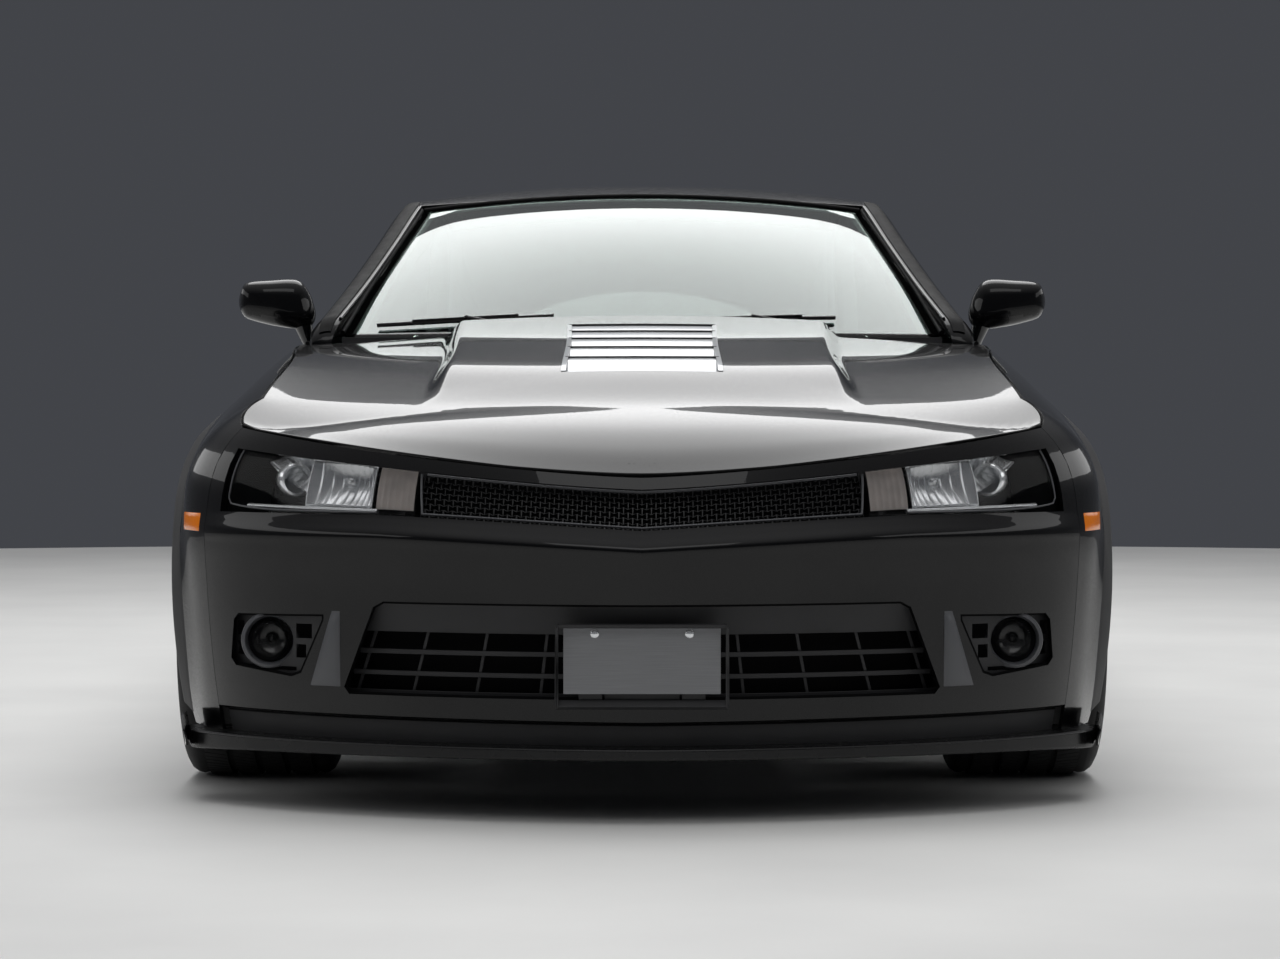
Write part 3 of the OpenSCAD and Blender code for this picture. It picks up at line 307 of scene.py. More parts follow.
def both(bm):
    """Adds the mirror image across the car's middle."""
    twin = bmesh.ops.duplicate(bm, geom=bm.verts[:] + bm.edges[:] + bm.faces[:])["geom"]
    bmesh.ops.scale(bm, vec=(-1, 1, 1), verts=[g for g in twin if isinstance(g, bmesh.types.BMVert)])
    bmesh.ops.reverse_faces(bm, faces=[g for g in twin if isinstance(g, bmesh.types.BMFace)])
    return bm


def fit(bm, name, finishes, slot, stands_for=(), body="body", wall=0.0, edge=0.0, flat=40, even=True):
    """Turns a mesh into a piece of the car: thickness inwards, rounded edges, finish and body."""
    for f in bm.faces:
        f.smooth = True
    for e in bm.edges:
        e.smooth = len(e.link_faces) != 2 or e.calc_face_angle(0) < math.radians(flat)
    data = bpy.data.meshes.new(name)
    bm.to_mesh(data)
    bm.free()
    for f in finishes if isinstance(finishes, (list, tuple)) else [finishes]:
        data.materials.append(f)
    ob = bpy.data.objects.new(name, data)
    scene.collection.objects.link(ob)
    if wall:
        shell = ob.modifiers.new("wall", "SOLIDIFY")
        shell.thickness = wall * MM
        shell.offset = -1
        shell.use_even_offset = even
        shell.thickness_clamp = 1.0
    if edge:
        rim = ob.modifiers.new("edge", "BEVEL")
        rim.width = edge * MM
        rim.segments = 2
        rim.limit_method = "ANGLE"
        rim.angle_limit = math.radians(45)
        rim.harden_normals = True
    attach(ob, body)
    if stands_for:
        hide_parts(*stands_for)
    return ob


# Black two-stage car paint: a clear coat over black, with an orange-peel ripple about 6 mm across.
paint = finish_of("black_car_paint", Base_Color=linear("#050506"), Roughness=0.3, Coat_Weight=1.0,
                  Specular_IOR_Level=0.08, Coat_Roughness=0.012, Coat_IOR=1.34)
peel = add(paint, "TexNoise", {"Scale": 160.0, "Detail": 1.0})
add(paint, "Bump", {"Height": peel, "Strength": 0.012, "Distance": 0.001}, "Coat Normal")
fleck = add(paint, "TexNoise", {"Scale": 900.0, "Detail": 2.0})
add(paint, "MapRange", {"Value": fleck, "From Min": 0.35, "From Max": 0.65, "To Min": 0.26, "To Max": 0.36},
    "Roughness")

# Mould-grained polypropylene: a fine leathery grain of about 1 mm, dull, with paler worn highs.
plastic = finish_of("grained_polypropylene", Roughness=0.58)
grain = add(plastic, "TexVoronoi", {"Scale": 700.0}, feature="SMOOTH_F1")
add(plastic, "Bump", {"Height": grain, "Strength": 0.25, "Distance": 0.0006}, "Normal")
wear = add(plastic, "TexNoise", {"Scale": 12.0, "Detail": 4.0})
add(plastic, "ValToRGB", {"Fac": wear}, "Base Color", ["#161617", "#28282a"])

LAMP_BAND = (0.82, 0.96)
INTAKE = [(-488, 405), (488, 405), (508, 394), (566, 240), (556, 227), (-556, 227), (-566, 240), (-508, 394)]
FOG = [(606, 377), (782, 372), (792, 360), (799, 284), (789, 270), (672, 255), (652, 263), (606, 366)]


def spread(stops, counts):
    """List of shares that runs through stops with so many steps between them."""
    out = [stops[0]]
    for a, b, n in zip(stops, stops[1:], counts):
        out += [mix(a, b, (k + 1) / n) for k in range(n)]
    return out


half_s = spread([0, 0.9, 0.965, 1], [52, 6, 4])
nose_ss = [-x for x in half_s[:0:-1]] + half_s
nose_ts = spread([0, 0.075, 0.092, 0.4, 0.7, 0.79, 0.82, 0.96, 1], [4, 4, 22, 24, 12, 4, 4, 6])


def pick(stops, share):
    """The stop at a share of the way along a list."""
    return stops[round(share * (len(stops) - 1))]


def cell_mid(stops, share):
    """Middle between the two stops that a share of the list falls between."""
    k = int(share * (len(stops) - 1))
    return mix(stops[k], stops[k + 1], 0.5)


def grid_skin(us, vs, point, hole):
    """Sheet with its rows and columns at two lists of stops."""
    return skin(len(us) - 1, len(vs) - 1, lambda u, v: point(pick(us, u), pick(vs, v)),
                lambda u, v: hole(cell_mid(us, u), cell_mid(vs, v)))


def nose_skin_point(s, t):
    return nose_point(s, t, 16 * ease((0.092 - t) / 0.015))


front_skin = grid_skin(nose_ss, nose_ts, nose_skin_point,
                       lambda s, t: abs(s) < 0.965 and LAMP_BAND[0] < t < LAMP_BAND[1])
cut_window(front_skin, INTAKE, lambda p: p.z < 470 and abs(p.x) < 640)
for side in (1, -1):
    cut_window(front_skin, [(side * x, z) for x, z in FOG], lambda p: p.z < 470 and 560 < side * p.x < 830)
for f in front_skin.faces:
    f.material_index = int(f.calc_center_median().z < 0.176)
fit(front_skin, "front_bumper_skin", [paint, plastic], "paint", ["front_fascia"], wall=10, edge=2.5)


def nose_face(x, z, inset=0.0):
    """Point of the nose skin, or so far behind it, at a place seen from the front."""
    low, high = 0.0, 1.0
    for _ in range(22):
        s = (low + high) / 2
        band = band_z(s)
        if z < band:
            t = BAND_T * (z - SPLIT_TOP) / (band - SPLIT_TOP)
        else:
            t = BAND_T + (1 - BAND_T) * (z - band) / (lip_z(s) - band)
        if nose_point(s, t, inset).x < abs(x):
            low = s
        else:
            high = s
    return Vector((x, nose_point(s, t, inset).y, z))


# Splitter: a flat moulded blade under the bumper that runs out to the longest point of the car,
# with a small upright fin at each end. Satin polyurethane, screwed on from below.
# Satin polyurethane: smooth, black, with a soft sheen and faint scuffs.
urethane = finish_of("satin_polyurethane", Base_Color=linear("#0b0b0c"), Specular_IOR_Level=0.35)
scuff = add(urethane, "TexNoise", {"Scale": 14.0, "Detail": 3.0})
add(urethane, "MapRange", {"Value": scuff, "From Min": 0.3, "From Max": 0.7, "To Min": 0.24, "To Max": 0.32},
    "Roughness")
SPLIT_T = 36.0
blade = bmesh.new()
lip = [nose_point(k / 40, 0, -57) for k in range(-40, 41)]
rear_y, rear_x = JOINT_F + 118, lip[-1].x + 18
outline = [(p.x, p.y) for p in lip] + [(rear_x, rear_y), (-rear_x, rear_y)]
blade.faces.new([blade.verts.new((x * MM, y * MM, SPLIT_TOP * MM)) for x, y in outline])
fit(blade, "splitter_blade", urethane, "black_plastic", ["splitter"], wall=SPLIT_T, edge=5)


def fin_point(u, v):
    y = mix(lip[-1].y - 34, rear_y, u)
    top = mix(142, 166, ease(u * 1.6))
    return rear_x - 14 * (1 - u) ** 2 + 1 + 7 * v * v, y, mix(SPLIT_TOP - 30, top, v)


fit(both(skin(12, 6, fin_point)), "splitter_fins", paint, "black_plastic", wall=5, edge=1.5)

# Upper grille: a moulded honeycomb between the headlamps, behind the lamp band, in gloss black.
# Piano-black ABS: mirror-smooth black with a trace of moulding flow.
gloss_black = finish_of("piano_black_abs", Base_Color=linear("#08080a"), IOR=1.5)
flow = add(gloss_black, "TexNoise", {"Scale": 20.0, "Detail": 3.0})
add(gloss_black, "MapRange", {"Value": flow, "To Min": 0.08, "To Max": 0.22}, "Roughness")


def lattice(cols, rows, point, bar, zigzag):
    """Open lattice: a grid whose cells are framed by bars. The zigzag turns brick cells into honeycomb."""
    bm = bmesh.new()
    bmesh.ops.create_grid(bm, x_segments=cols, y_segments=rows, size=0.5)
    loose = []
    for e in bm.edges:
        a, b = e.verts
        if abs(a.co.x - b.co.x) < 1e-6 and not e.is_boundary:
            i = round((a.co.x + 0.5) * cols)
            j = int((min(a.co.y, b.co.y) + 0.5) * rows + 0.01)
            if (i + j) % 2:
                loose.append(e)
    bmesh.ops.dissolve_edges(bm, edges=loose)
    for v in bm.verts:
        i, j = round((v.co.x + 0.5) * cols), round((v.co.y + 0.5) * rows)
        lift = zigzag * (1 if (i + j) % 2 else -1) / rows if 0 < j < rows else 0
        v.co = Vector(point(v.co.x + 0.5, v.co.y + 0.5 + lift)) * MM
    cells = bm.faces[:]
    bmesh.ops.inset_individual(bm, faces=cells, thickness=bar * MM, use_even_offset=True)
    bmesh.ops.delete(bm, geom=cells, context="FACES")
    return bm


fit(lattice(96, 9, lambda u, v: nose_point(mix(-0.515, 0.515, u), mix(0.806, 0.962, v), 34), 1.6, 0.17),
    "upper_grille_comb", gloss_black, "black_plastic", ["upper_grille"], wall=10, even=False)
# The sheet behind it closes the view into the nose, and its near-black colour is painted shade for the hollow behind
# the grille.
# Black gauze: fine and dull, coloured almost black as painted shade in and round the nose's openings.
shade_gauze = finish_of("painted_shade_gauze", Base_Color=linear("#060607"), Roughness=0.9, Specular_IOR_Level=0.1)
weave = add(shade_gauze, "TexWave", {"Scale": 200.0})
add(shade_gauze, "Bump", {"Height": weave, "Strength": 0.3, "Distance": 0.0005}, "Normal")
fit(skin(48, 8, lambda u, v: nose_point(mix(-0.52, 0.52, u), mix(0.80, 0.965, v), 60)),
    "grille_shade_backing", shade_gauze, "black_plastic", wall=2)


def closed(bm):
    """Merges a rolled-up grid's seam, fills its ends and turns its faces outwards."""
    bmesh.ops.remove_doubles(bm, verts=bm.verts[:], dist=1e-6)
    bmesh.ops.holes_fill(bm, edges=[e for e in bm.edges if e.is_boundary])
    bmesh.ops.recalc_face_normals(bm, faces=bm.faces[:])
    return bm


def shares(n):
    """Even steps from 0 to 1."""
    return [k / n for k in range(n + 1)]


def rod(points, radius, sides=8):
    """Round bar along a list of points."""
    bm = bmesh.new()
    n = len(points) - 1
    bmesh.ops.create_grid(bm, x_segments=n, y_segments=sides, size=0.5)
    for v in bm.verts:
        i, k = round((v.co.x + 0.5) * n), round((v.co.y + 0.5) * sides)
        way = (Vector(points[min(i + 1, n)]) - Vector(points[max(i - 1, 0)])).normalized()
        lean = Vector((0.31, 0.17, 0.93))
        a = (lean - way * lean.dot(way)).normalized()
        b = way.cross(a)
        turn = 2 * math.pi * k / sides
        v.co = (Vector(points[i]) + (a * math.cos(turn) + b * math.sin(turn)) * radius) * MM
    return closed(bm)


def joined(first, *others):
    """One mesh from several."""
    for other in others:
        data = bpy.data.meshes.new("part")
        other.to_mesh(data)
        other.free()
        first.from_mesh(data)
        bpy.data.meshes.remove(data)
    return first


# A slim frame runs round the opening.
# Satin grey ABS: paler than the bumper, with a fine moulded stipple of about 0.8 mm.
grey_abs = finish_of("satin_grey_abs", Base_Color=linear("#4b4c4f"), Roughness=0.36)
stipple = add(grey_abs, "TexNoise", {"Scale": 1200.0, "Detail": 2.0})
add(grey_abs, "Bump", {"Height": stipple, "Strength": 0.15, "Distance": 0.0004}, "Normal")
fit(joined(
    rod([nose_point(k / 40 * 0.5, 0.828, 20) for k in range(-40, 41)], 2.4),
    rod([nose_point(k / 40 * 0.5, 0.95, 22) for k in range(-40, 41)], 2.4),
    *[rod([nose_point(side * mix(0.5, 0.512, t), mix(0.828, 0.95, t), 20) for t in shares(8)], 2.4)
      for side in (1, -1)]),
    "upper_grille_frame", grey_abs, "black_plastic", flat=60)

# Lower grille: thin level bars and uprights under a plain band, moulded in matt black and set
# well back in the intake.
def intake_x(z):
    return mix(562, 506, (z - 232) / 170)


def slot_bar(z, thick):
    """Level bar across the intake."""
    return skin(60, 2, lambda u, v: nose_face((2 * u - 1) * intake_x(z), z + (v - 0.5) * thick, 44))


def slot_post(u0, thick):
    """Upright between the bars, leaning with the intake's sides."""
    def at(u, v):
        z = mix(228, 374, v)
        return nose_face(u0 * intake_x(z) + (u - 0.5) * thick, z, 50)
    return skin(2, 12, at)


def band_point(u, v):
    z = mix(346, 410, v)
    return nose_face((2 * u - 1) * (intake_x(z) + 8), z, mix(36, 14, v))


bars = joined(*[slot_bar(z, 9) for z in (230, 267, 308)])
posts = joined(*[slot_post(side * share, 6) for share in (0.123, 0.339, 0.555, 0.771, 0.965) for side in (1, -1)])
fit(joined(bars, posts), "lower_grille_bars", plastic, "black_plastic", ["lower_grille"], wall=20, edge=1)
fit(skin(60, 5, band_point), "lower_grille_band", plastic, "black_plastic", wall=5, edge=1.5)
# Painted shade: a near-black gauze sheet deep in the intake stands in for the shade inside it.
fit(skin(48, 8, lambda u, v: nose_face((2 * u - 1) * 560, mix(214, 415, v), 84)),
    "intake_shade_backing", shade_gauze, "black_plastic", wall=2)


# Cheek blades: a tapered blade of satin grey plastic between the intake and each fog-lamp corner.
def cheek_point(u, v):
    z = mix(240, 385, v)
    x = mix(mix(634, 590, v), 573, u)
    proud = 9 * math.sin(math.pi * u) ** 0.6 * math.sin(math.pi * min(1, 0.06 + v)) ** 0.4
    p = nose_face(x, z)
    return p + Vector((0, -proud, 0))


fit(both(skin(8, 20, lambda u, v: cheek_point(1 - u, v))),
    "cheek_blades", grey_abs, "black_plastic", wall=4, edge=1)

# Fog-lamp corners: a moulded bezel with slots beside and below a round lamp in a stepped ring.
def spun(profile, steps, along=2):
    """Turning, in mm, about axis 0 or 2 from (radius, height) steps."""
    bm = bmesh.new()
    chain = [bm.verts.new((r, 0, h) if along == 2 else (h, 0, r)) for r, h in profile]
    edges = [bm.edges.new(pair) for pair in zip(chain, chain[1:])]
    bmesh.ops.spin(bm, geom=chain + edges, cent=(0, 0, 0), axis=(1, 0, 0) if along == 0 else (0, 0, 1),
                   angle=2 * math.pi, steps=steps, use_merge=True)
    bmesh.ops.remove_doubles(bm, verts=bm.verts[:], dist=1e-4)
    bmesh.ops.recalc_face_normals(bm, faces=bm.faces[:])
    return bm


def stood(bm, at, turn):
    """Turns a shape made in mm at the origin and takes it to its place on the car."""
    whole = Matrix.Diagonal((MM, MM, MM, 1)) @ Matrix.Translation(at) @ turn
    bmesh.ops.transform(bm, matrix=whole, verts=bm.verts[:])
    return bm


def turned(profile, centre, axis="y", steps=48, tilt=0.0):
    """Turning about a line through centre. Heights run forwards for axis y and upwards for axis z."""
    aim = Matrix.Rotation(math.radians(90), 4, "X") if axis == "y" else Matrix.Identity(4)
    return stood(spun(profile, steps), centre, Matrix.Rotation(math.radians(tilt), 4, "Z") @ aim)


FOG_AT, FOG_HOLE = (718, 322), 50
FOG_SLOTS = [(632, 664, 328, 356), (644, 664, 290, 316), (773, 788, 328, 356), (773, 789, 290, 316),
             (664, 780, 264, 272)]
fog_plate = skin(24, 16, lambda u, v: nose_face(mix(592, 812, u), mix(240, 388, v), 24))
cut_window(fog_plate, [(FOG_AT[0] + FOG_HOLE * math.cos(k * math.pi / 6),
                        FOG_AT[1] + FOG_HOLE * math.sin(k * math.pi / 6)) for k in range(12)], lambda p: True)
for x0, x1, z0, z1 in FOG_SLOTS:
    cut_window(fog_plate, [(x0, z0), (x1, z0), (x1, z1), (x0, z1)], lambda p: True)
fit(both(fog_plate), "fog_bezels", plastic, "black_plastic", ["fog_lamps"], wall=8, edge=1, even=False)
fog_y = nose_face(*FOG_AT).y + 24
fog_mid = (FOG_AT[0], fog_y, FOG_AT[1])
fit(both(turned([(52, -26), (56, 0), (54, 8), (48, 10), (45, 4), (44, -16), (36, -22), (35, -30)], fog_mid)),
    "fog_rings", grey_abs, "black_plastic")
# Clear polycarbonate: sharp highlights over what lies behind it.
clear = finish_of("clear_polycarbonate", Base_Color=linear("#0c0d0e"), Roughness=0.02, IOR=1.5, Alpha=0.12)
fit(both(turned([(0, 3), (14, 2.4), (28, 0), (38, -4), (43, -10)], (FOG_AT[0], fog_y - 4, FOG_AT[1]))),
    "fog_lenses", clear, "lamp_glass")
# Vacuum-metallised reflector: bright aluminium film with faint draw lines.
chrome = finish_of("metallised_reflector", Base_Color=linear("#eceef0"), Metallic=0.75)
film = add(chrome, "TexNoise", {"Scale": 60.0, "Detail": 3.0})
add(chrome, "MapRange", {"Value": film, "To Min": 0.14, "To Max": 0.3}, "Roughness")
fit(both(turned([(0, -34), (5, -26), (9, -24), (12, -32), (24, -29), (36, -20), (43, -12)], fog_mid)),
    "fog_bowls", gloss_black, "lamp_glass")


# Opening seals: dull black foam strips that close the gap between the bumper and what stands in
# its openings. Their near-black colour is also painted shade for the shadow line round each opening.
def edge_strip(corners):
    """Strip round an opening of the nose."""
    return rod([nose_face(mix(a[0], b[0], k / 8), mix(a[1], b[1], k / 8), 11)
                for a, b in zip(corners, corners[1:] + corners[:1]) for k in range(8)], 4.5, 6)


fit(joined(both(edge_strip(FOG)), edge_strip(INTAKE)), "opening_seals_and_shade_lines", shade_gauze, "black_plastic", flat=70)

# Number plate: a blank aluminium plate in a black plastic frame, on a foot and two straps on
# the bumper, with a screw in each upper corner.
PLATE = (310.0, 154.0, 294.0)
plate_y = NOSE_Y + 30
border = bmesh.new()
bmesh.ops.create_grid(border, x_segments=1, y_segments=1, size=0.5)
for v in border.verts:
    v.co = Vector((v.co.x * PLATE[0], plate_y, PLATE[2] + v.co.y * PLATE[1])) * MM
inner = border.faces[:]
bmesh.ops.inset_individual(border, faces=inner, thickness=0.013)
for v in inner[0].verts:
    v.co.z += 0.012 if v.co.z < PLATE[2] * MM else -0.002
bmesh.ops.delete(border, geom=inner, context="FACES")
bmesh.ops.recalc_face_normals(border, faces=border.faces[:])
if border.faces[:][0].normal.y > 0:
    bmesh.ops.reverse_faces(border, faces=border.faces[:])
fit(border, "plate_frame", plastic, "black_plastic", wall=6, edge=1.5)
# Rolled aluminium plate: dull grey film over fine roll lines.
plate_metal = finish_of("coated_aluminium_plate", Roughness=0.4, Metallic=0.2)
lines = add(plate_metal, "TexNoise", {"Vector": add(plate_metal, "Mapping", {"Vector": add(plate_metal, "TexCoord",
    {}, output="Object"), "Scale": (4.0, 4.0, 220.0)}), "Scale": 3.0, "Detail": 4.0})
add(plate_metal, "ValToRGB", {"Fac": lines}, "Base Color", ["#6f7072", "#868789"])
fit(skin(24, 10, lambda u, v: (mix(-146, 146, u), plate_y + 3.5, mix(PLATE[2] - 54, PLATE[2] + 68, v))),
    "plate_blank", plate_metal, "plate", ["number_plate"], wall=2.5, edge=0.6)
STRAP = [(nose_face(0, 214).y - 2, 214), (plate_y + 16, 228), (plate_y + 9, 244), (plate_y + 9, 362)]
fit(joined(*[skin(2, 3, lambda u, v: (x + 44 * (u - 0.5), *pick(STRAP, v))) for x in (-96, 96)]),
    "plate_straps", plastic, "black_plastic", wall=4, edge=1)
fit(skin(6, 4, lambda u, v: nose_face(mix(-70, 70, u), mix(214, 240, v), -3)),
    "plate_foot", plastic, "black_plastic", wall=8, edge=1)
fit(joined(*[turned([(0, 3.2), (4, 3.0), (7, 1.6), (8.5, 0), (8.5, -2)], (x, plate_y + 2, PLATE[2] + 58), steps=20)
             for x in (-88, 88)]),
    "plate_screws", chrome, "plate")

# Headlamps: a clear moulded lens over a black housing, with a fluted high-beam bowl, a round main
# lamp outside it, a ribbed turn lamp at the inner end and a bright strip along the foot.
fit(both(skin(60, 16, lambda u, v: nose_point(mix(0.512, 0.972, u), mix(0.812, 0.968, v), 13))),
    "headlamp_lenses", clear, "lamp_glass", ["headlamps"], wall=3, edge=1)
back = both(skin(40, 10, lambda u, v: nose_point(mix(0.505, 0.978, u), mix(0.804, 0.972, v), 92)))
fit(back, "headlamp_housings", gloss_black, "black_plastic", wall=2)


def bowl_point(u, v):
    s = mix(0.625, 0.785, u)
    hollow = (1 - (2 * u - 1) ** 2) * (1 - 0.55 * (2 * v - 1) ** 2)
    flute = 5.5 * abs(math.sin(math.pi * 9 * u))
    return nose_point(s, mix(0.838, 0.955, v), 24 + 34 * hollow + flute)


fit(both(skin(132, 16, bowl_point)), "high_beam_bowls", chrome, "lamp_glass", wall=1.5)


def outer_point(u, v):
    s = mix(0.785, 0.955, u)
    flute = 2.2 * abs(math.sin(math.pi * 9 * u)) * (1 - u)
    return nose_point(s, mix(mix(0.87, 0.93, u), 0.957, v), mix(26, 60, u) + 20 * math.sin(math.pi * v) + flute)


fit(both(skin(72, 10, outer_point)), "outer_reflectors", chrome, "lamp_glass", wall=1.5)
lamp_y = nose_point(0.83, 0.9, 34)
fit(both(turned([(30, -30), (33, 0), (31, 6), (27, 7), (25, 2), (24, -20), (10, -34), (0, -36)], lamp_y, tilt=-24)),
    "main_lamp_rings", chrome, "lamp_glass")
fit(both(turned([(0, 9), (8, 8), (16, 4.5), (22, -1), (24, -6)], lamp_y, tilt=-24)),
    "main_lamp_eyes", clear, "lamp_glass")
bulb_at = nose_point(0.7, 0.905, 42)
fit(both(turned([(0, 12), (5, 11), (8, 7), (9, 0), (9, -30), (14, -34)], bulb_at, tilt=-18, steps=24)),
    "high_beam_bulbs", chrome, "lamp_glass")
# Smoked amber polycarbonate: a milky grey block with a warm cast.
smoke = finish_of("smoked_amber_polycarbonate", Roughness=0.18)
milk = add(smoke, "TexNoise", {"Scale": 28.0, "Detail": 2.0})
add(smoke, "ValToRGB", {"Fac": milk}, "Base Color", ["#8b8583", "#b5aca6"])
fit(both(skin(36, 12, lambda u, v: nose_point(mix(0.523, 0.612, u), mix(0.835, 0.955, v),
                                              22 + 0.8 * abs(math.sin(math.pi * 6 * u))))),
    "turn_lamps", smoke, "lamp_glass", wall=10, edge=1)
fit(both(rod([nose_point(mix(0.61, 0.93, t), mix(0.829, 0.834, t), 26) for t in shares(30)], 5)),
    "lamp_foot_strips", chrome, "lamp_glass", flat=60)
# Painted highlight: a grey rod along the lens's outer and lower border stands in for the bright edge highlight of the
# clear lens.
fit(both(rod([nose_point(0.962, mix(0.955, 0.85, t), 11) for t in shares(10)]
             + [nose_point(mix(0.955, 0.6, t), 0.826 + 0.012 * (1 - t) ** 6, 11) for t in shares(30)], 2.0, 6)),
    "lens_edge_highlights", grey_abs, "lamp_glass", flat=70)

# Front wings: pressed panels from the bumper joint to the door, cut round the wheel and rolled
# over the top into the bonnet's shut line. Both sides are alike.
def arch_foot(y, axle, ahead, past):
    d = y - axle
    if abs(d) < ARCH_R - 0.005:
        return HUB_Z + math.sqrt(ARCH_R ** 2 - d * d)
    return ahead if d < 0 else past


def wing_rows(front, rear, axle, step=4):
    ahead = [mix(front, axle - ARCH_R - 0.01, t) for t in shares(8)]
    over = [axle - ARCH_R * math.cos(math.radians(a)) for a in range(0, 181, step)]
    over[0] += 0.01
    over[-1] -= 0.01
    past = [mix(axle + ARCH_R + 0.01, rear, t) for t in shares(10)]
    return ahead + over + past


def side_skin(rows, foot, levels=36):
    """Side panel over a list of places, from a lower edge up to the shoulder."""
    count = len(rows) - 1

    def at(u, v):
        y = rows[round(u * count)]
        z = mix(foot(y), shoulder_z(y), 1 - (1 - v) ** 1.25)
        return side_x(y, z), y, z
    return skin(count, levels, at)


fit(both(side_skin(wing_rows(JOINT_F + 1, DOOR_F - GAP / 2, AXLE_F),
                   lambda y: arch_foot(y, AXLE_F, SPLIT_TOP, SILL_TOP))),
    "front_wings", paint, "paint", ["fenders"], wall=7, edge=2)

# Wheel-arch lips: a moulded band of matt black plastic clipped round each arch edge.
def arch_band(axle, low_ahead, low_past, wide=44.0):
    """Band round a wheel opening, a little proud of the side."""
    def at(u, v):
        a = math.radians(mix(-low_ahead, 180 + low_past, u))
        r = mix(ARCH_R - 2, ARCH_R + wide, v)
        y = axle - r * math.cos(a)
        z = HUB_Z + r * math.sin(a)
        return side_x(y, z) + (2.4 if axle < 0 else 0.4) * math.sin(math.pi * min(1, 0.12 + 0.88 * v)) ** 0.5, y, z
    return skin(72, 8, at)


fit(both(joined(arch_band(AXLE_F, 24, 4), arch_band(AXLE_R, 4, 4))),
    "arch_lips", plastic, "black_plastic", wall=3, edge=1)

# Bonnet: an aluminium lid with a raised middle whose sides step up, a ridge down its centre line
# and an opening for the louvred vent. It turns on two arms at its rear corners.
BONNET_RISE = [(0, 0), (67, 46), (157, 88), (280, 122), (500, 168), (880, 226), (1260, 270), (1500, 296)]
BUMPER_T = 12.0
DOME_H, DOME_FROM, RIDGE_H = 36.0, 300.0, 5.0


def edge_x(y):
    z = shoulder_z(y)
    return side_x(y, z) - flare(y, z)


def bonnet_front(u):
    return nose_point(u, 1)[1] + BUMPER_T + GAP


def bonnet_rear(u):
    return DOOR_F - mix(190, 88, u * u)


def bonnet_z(u, y):
    d = y - bonnet_front(u)
    rise = (lip_z(u) - mix(LIP_Z, NOSE_TOP, u * u)) * ease(1 - d / 500)
    return (mix(LIP_Z, NOSE_TOP, u * u) + rise + 2
            + mix(curve(BONNET_RISE, 1, d), shoulder_z(y) - NOSE_TOP, abs(u) ** 2.2)
            + DOME_H * ease((d - DOME_FROM) / 260) * ease((0.58 - abs(u)) / 0.06)
            + RIDGE_H * max(0.0, 1 - abs(u) / 0.32) * ease(1 - d / 700))


def bonnet_point(u, v):
    y = mix(bonnet_front(u), bonnet_rear(u), v)
    return Vector((u * (edge_x(max(y, JOINT_F)) - GAP), y, bonnet_z(u, y)))


half_u = spread([0, 0.21, 0.5, 0.6, 1], [6, 10, 12, 16])
bonnet_us = [-x for x in half_u[:0:-1]] + half_u
bonnet_vs = spread([0, 0.18, 0.34, 0.85, 1], [20, 12, 22, 8])
VENT_U, VENT_V = 0.21, (0.34, 0.85)
fit(grid_skin(bonnet_us, bonnet_vs, bonnet_point, lambda u, v: abs(u) < VENT_U and VENT_V[0] < v < VENT_V[1]),
    "bonnet", paint, "paint", ["hood"], "hood", wall=14, edge=2.5)

# Bonnet vent: five louvres pressed from sheet and painted silver, each rising to the bonnet's own
# surface at its rear edge, in a slim frame over a black tray. A thin black rod along each rear edge
# is painted shade for the dark gap between the louvres.
# Silver paint: fine aluminium flake of about 1 mm under a clear coat.
silver = finish_of("silver_car_paint", Metallic=0.5, Roughness=0.3, Coat_Weight=0.7, Coat_Roughness=0.03)
flake = add(silver, "TexNoise", {"Scale": 900.0, "Detail": 1.0})
add(silver, "ValToRGB", {"Fac": flake}, "Base Color", ["#8d9093", "#abaeb1"])


def vent_point(u, v, lift):
    """Point so far over the bonnet's surface, with v as a share of the vent's length."""
    return bonnet_point(u, mix(*VENT_V, v)) + Vector((0, 0, lift))


def louvre(k):
    a, b = (mix(VENT_V[0], VENT_V[1], (k + part) / 5) for part in (0.03, 0.95))

    def at(u, v):
        p = bonnet_point(mix(0.006 - VENT_U, VENT_U - 0.006, u), mix(a, b, v))
        return p - Vector((0, 0, 1.5 + 26 * (1 - v) ** 1.5))
    return skin(20, 6, at)


fit(joined(*[louvre(k) for k in range(5)]), "bonnet_louvres", silver, "vent", ["hood_vent"], "hood", wall=3, edge=0.8)
# Painted shade: black rods along the louvres' rear edges stand in for the shadow in the gaps.
fit(joined(*[rod([vent_point(mix(-VENT_U, VENT_U, t), (n + 0.96) / 5, 0.6) for t in shares(20)], 2.2, 6)
             for n in range(5)]),
    "louvre_shade_lines", plastic, "vent", body="hood", flat=60)
fit(both(skin(2, 24, lambda u, v: vent_point(mix(VENT_U - 0.008, VENT_U + 0.006, u), v, 1.6))),
    "vent_frame", silver, "vent", body="hood", wall=4, edge=0.8)
fit(skin(12, 12, lambda u, v: vent_point(mix(-VENT_U, VENT_U, u), v, -52)),
    "vent_tray", plastic, "black_plastic", body="hood", wall=2)

# Side markers: a small amber lens let into each front wing behind the bumper joint.
# Amber polycarbonate: deep orange with a moulded prism pattern of about 5 mm.
amber = finish_of("amber_polycarbonate", Base_Color=linear("#e0780f"), Roughness=0.16, IOR=1.58)
prism = add(amber, "TexVoronoi", {"Scale": 200.0}, distance="CHEBYCHEV")
add(amber, "Bump", {"Height": prism, "Strength": 0.4, "Distance": 0.001}, "Normal")


def marker_point(u, v):
    y, z = mix(-1990, -1896, u), mix(527, 563, v)
    return side_x(y, z) + 0.5 + 3 * (1 - (2 * u - 1) ** 4) * (1 - (2 * v - 1) ** 4), y, z


fit(both(skin(16, 8, marker_point)), "side_markers", amber, "lamp_glass", wall=4, edge=1)

